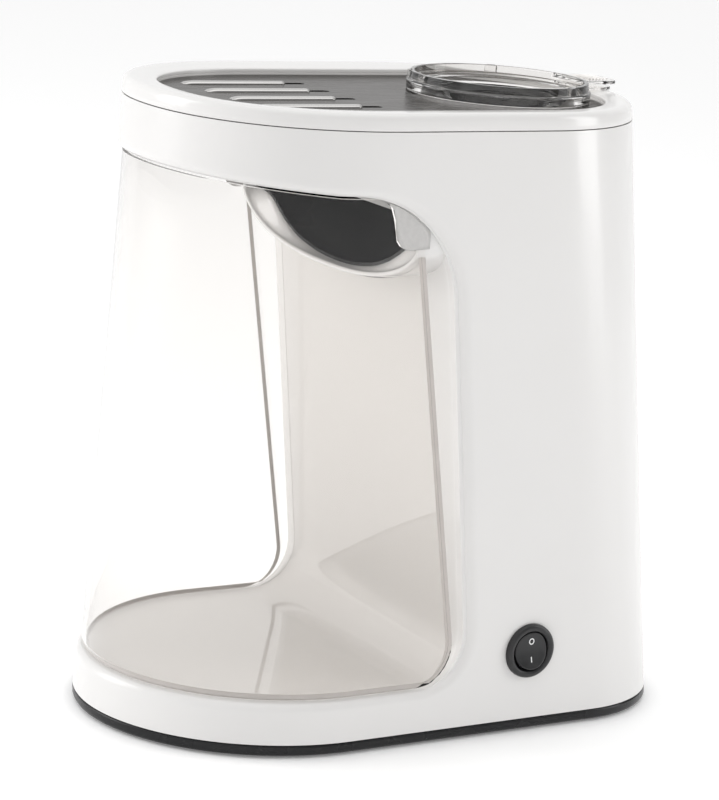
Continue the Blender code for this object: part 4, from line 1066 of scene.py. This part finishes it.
def rocker_x(z):
    """How far out the rocker's hollow face is."""
    centre = math.sqrt(ROCKER_DISH ** 2 - ROCKER_REACH ** 2) + ROCKER_EDGE
    return centre - math.sqrt(ROCKER_DISH ** 2 - min(abs(z), ROCKER_REACH) ** 2)


def switch_rocker():
    """Round paddle with a hollow face."""
    bm = bmesh.new()
    rings = []
    steps = 72
    shoulder = [(0.965, 0.03), (0.99, 0.25), (1.0, 0.8), (1.0, 7.0)]
    for share, drop in [(k / 12, 0.0) for k in range(1, 12)] + shoulder:
        ring = []
        for i in range(steps):
            a = 2 * math.pi * i / steps
            y, z = ROCKER_RADIUS * share * math.cos(a), ROCKER_RADIUS * share * math.sin(a)
            ring.append(on_rocker(rocker_x(z) - drop, y, z))
        rings.append(ring)
    made = grid(bm, rings, close_columns=True)
    cap(bm, made[0])
    cap(bm, made[-1])
    rocker = mesh_object("switch_rocker_paddle", bm, LOOKS["black_switch"], 50.0)
    return stands_for(rocker, "rocker", "black_switch", "switch_rocker")


def switch_marks():
    """Printed marks: an O near the top and a short I near the bottom, proud by a hair."""
    proud, ring_z = 0.04, 4.6
    bm = bmesh.new()
    rows = []
    for radius in (1.05, 1.6):
        row = []
        for a in spread(0.0, 2 * math.pi, 36)[:-1]:
            z = ring_z + radius * math.sin(a)
            row.append(on_rocker(rocker_x(z) + proud, radius * math.cos(a) * 0.95, z))
        rows.append(row)
    grid(bm, rows, close_columns=True)
    grid(bm, [[on_rocker(rocker_x(z) + proud, y, z) for z in spread(-5.6, -2.9, 6)] for y in (-0.28, 0.28)])
    return stands_for(mesh_object("switch_marks", bm, MARK), "rocker", "white_housing")


def cord_gland():
    profile = rounded([(3.3, -6.0), (6.0, -6.0), (6.0, 0.3), (8.2, 0.3), (8.2, 2.2), (7.4, 4.0), (3.3, 4.0),
                       (3.3, -5.5)], [0.2, 0.1, 0.3, 0.6, 0.8, 0.5])
    gland = turned("cord_gland_shell", profile, LOOKS["black_base"], (GLAND_X, mix(REAR_Y, GLAND_Z), GLAND_Z),
                   "Y", 64, False)
    return stands_for(gland, "machine", "black_base", "cord_gland")


switch_body()
switch_rocker()
switch_marks()
cord_gland()


# ---- CAD nodes that stay

replaced = {"housing_left", "housing_right", "bay_liner", "chute_duct", "lid_ring", "top_plate", "dosing_cup",
            "popcorn_container", "base_plate", "switch_body", "switch_rocker", "cord_gland"}
replaced |= {f"foot_{i}" for i in range(1, 5)}
for row in frame["record"]["subparts"]:
    if row["node"] in replaced:
        continue
    node = frame["nodes"][row["node"]]
    if not node.material_slots:
        node.data.materials.append(None)
    for held in node.material_slots:
        held.link = "OBJECT"
        held.material = LOOKS[row["material_slot"]]


# ---- floor, lights and camera

AIM = (0.0, 0.0, 0.15)
# name, place, size, power
LAMPS = (("key_front_left", (-1.0, -1.5, 0.8), (0.9, 1.4), 11.0),
         ("side_right", (1.6, -0.3, 0.7), (0.7, 1.4), 0.6),
         ("rear_right", (0.9, 1.5, 0.7), (0.6, 1.4), 9.0),
         ("top_soft", (0.0, 0.1, 1.6), (1.4, 1.4), 4.0))
ROOM_STRENGTH = 0.94
ROOM_DARK = 0.36              # brightness of the room's darker side
ROOM_DARK_SIDE = (0.75, 0.66, 0.0)
CAMERA_PLACE = (1.1510, -0.7301, 0.4710)
CAMERA_ANGLES = (57.963, 13.430, 4.570)   # azimuth, elevation and roll in degrees
CAMERA_LENS = 36.0 * 2878.5 / 800.0


def floor():
    """Pale floor with a little glow of its own."""
    paint = surface("floor_paint", (0.94, 0.94, 0.94), (0.95, 0.95, 0.95), (0.6, 0.7), scale=3.0)
    glow = paint.node_tree.nodes["Principled BSDF"].inputs
    glow["Emission Color"].default_value = (1.0, 1.0, 1.0, 1.0)
    glow["Emission Strength"].default_value = 0.14
    bm = bmesh.new()
    run = 4000.0
    rows = [[(x, y, 0.0) for x in spread(-run, run, 8)] for y in spread(-run, run, 8)]
    grid(bm, rows)
    made = mesh_object("studio_floor", bm, paint)


def lamp(name, place, size, power):
    data = bpy.data.lights.new(name, "AREA")
    data.shape = "RECTANGLE"
    data.size, data.size_y = size
    data.energy = power
    made = bpy.data.objects.new(name, data)
    made.location = Vector(place)
    made.rotation_euler = (Vector(AIM) - Vector(place)).to_track_quat("-Z", "Y").to_euler()
    SCENE.collection.objects.link(made)
    return made


def studio():
    """White seen directly or through clear parts; elsewhere a room with a darker side to the right rear."""
    world = bpy.data.worlds.new("studio")
    world.use_nodes = True
    tree = world.node_tree
    seen = tree.nodes["Background"]
    seen.inputs["Color"].default_value = (1.0, 1.0, 1.0, 1.0)
    seen.inputs["Strength"].default_value = 1.0
    room = tree.nodes.new("ShaderNodeBackground")
    room.inputs["Strength"].default_value = ROOM_STRENGTH
    coords = tree.nodes.new("ShaderNodeTexCoord")
    dot = tree.nodes.new("ShaderNodeVectorMath")
    dot.operation = "DOT_PRODUCT"
    dot.inputs[1].default_value = Vector(ROOM_DARK_SIDE).normalized()
    tree.links.new(coords.outputs["Generated"], dot.inputs[0])
    shade = tree.nodes.new("ShaderNodeValToRGB")
    ramp_low, ramp_high = shade.color_ramp.elements
    ramp_low.position, ramp_low.color = 0.25, (1.0, 1.0, 1.0, 1.0)
    ramp_high.position, ramp_high.color = 0.8, (ROOM_DARK, ROOM_DARK, ROOM_DARK, 1.0)
    tree.links.new(dot.outputs["Value"], shade.inputs["Fac"])
    tree.links.new(shade.outputs["Color"], room.inputs["Color"])
    path = tree.nodes.new("ShaderNodeLightPath")
    either = tree.nodes.new("ShaderNodeMath")
    either.operation = "MAXIMUM"
    tree.links.new(path.outputs["Is Camera Ray"], either.inputs[0])
    tree.links.new(path.outputs["Is Transmission Ray"], either.inputs[1])
    choose = tree.nodes.new("ShaderNodeMixShader")
    tree.links.new(either.outputs["Value"], choose.inputs["Fac"])
    tree.links.new(room.outputs["Background"], choose.inputs[1])
    tree.links.new(seen.outputs["Background"], choose.inputs[2])
    tree.links.new(choose.outputs["Shader"], tree.nodes["World Output"].inputs["Surface"])
    SCENE.world = world


def camera():
    azimuth, elevation, roll = (math.radians(a) for a in CAMERA_ANGLES)
    back = Vector((math.sin(azimuth) * math.cos(elevation), -math.cos(azimuth) * math.cos(elevation),
                   math.sin(elevation)))
    right = (-back).cross(Vector((0.0, 0.0, 1.0))).normalized()
    up = right.cross(-back)
    x_axis = math.cos(roll) * right + math.sin(roll) * up
    y_axis = -math.sin(roll) * right + math.cos(roll) * up
    data = bpy.data.cameras.new("camera")
    data.sensor_width = 36.0
    data.lens = CAMERA_LENS
    data.clip_end = 20.0
    made = bpy.data.objects.new("camera", data)
    turn = Matrix((x_axis, y_axis, back)).transposed()
    made.matrix_world = Matrix.Translation(Vector(CAMERA_PLACE)) @ turn.to_4x4()
    SCENE.collection.objects.link(made)
    SCENE.camera = made


floor()
studio()
for row in LAMPS:
    lamp(*row)
camera()
bpy.context.view_layer.update()
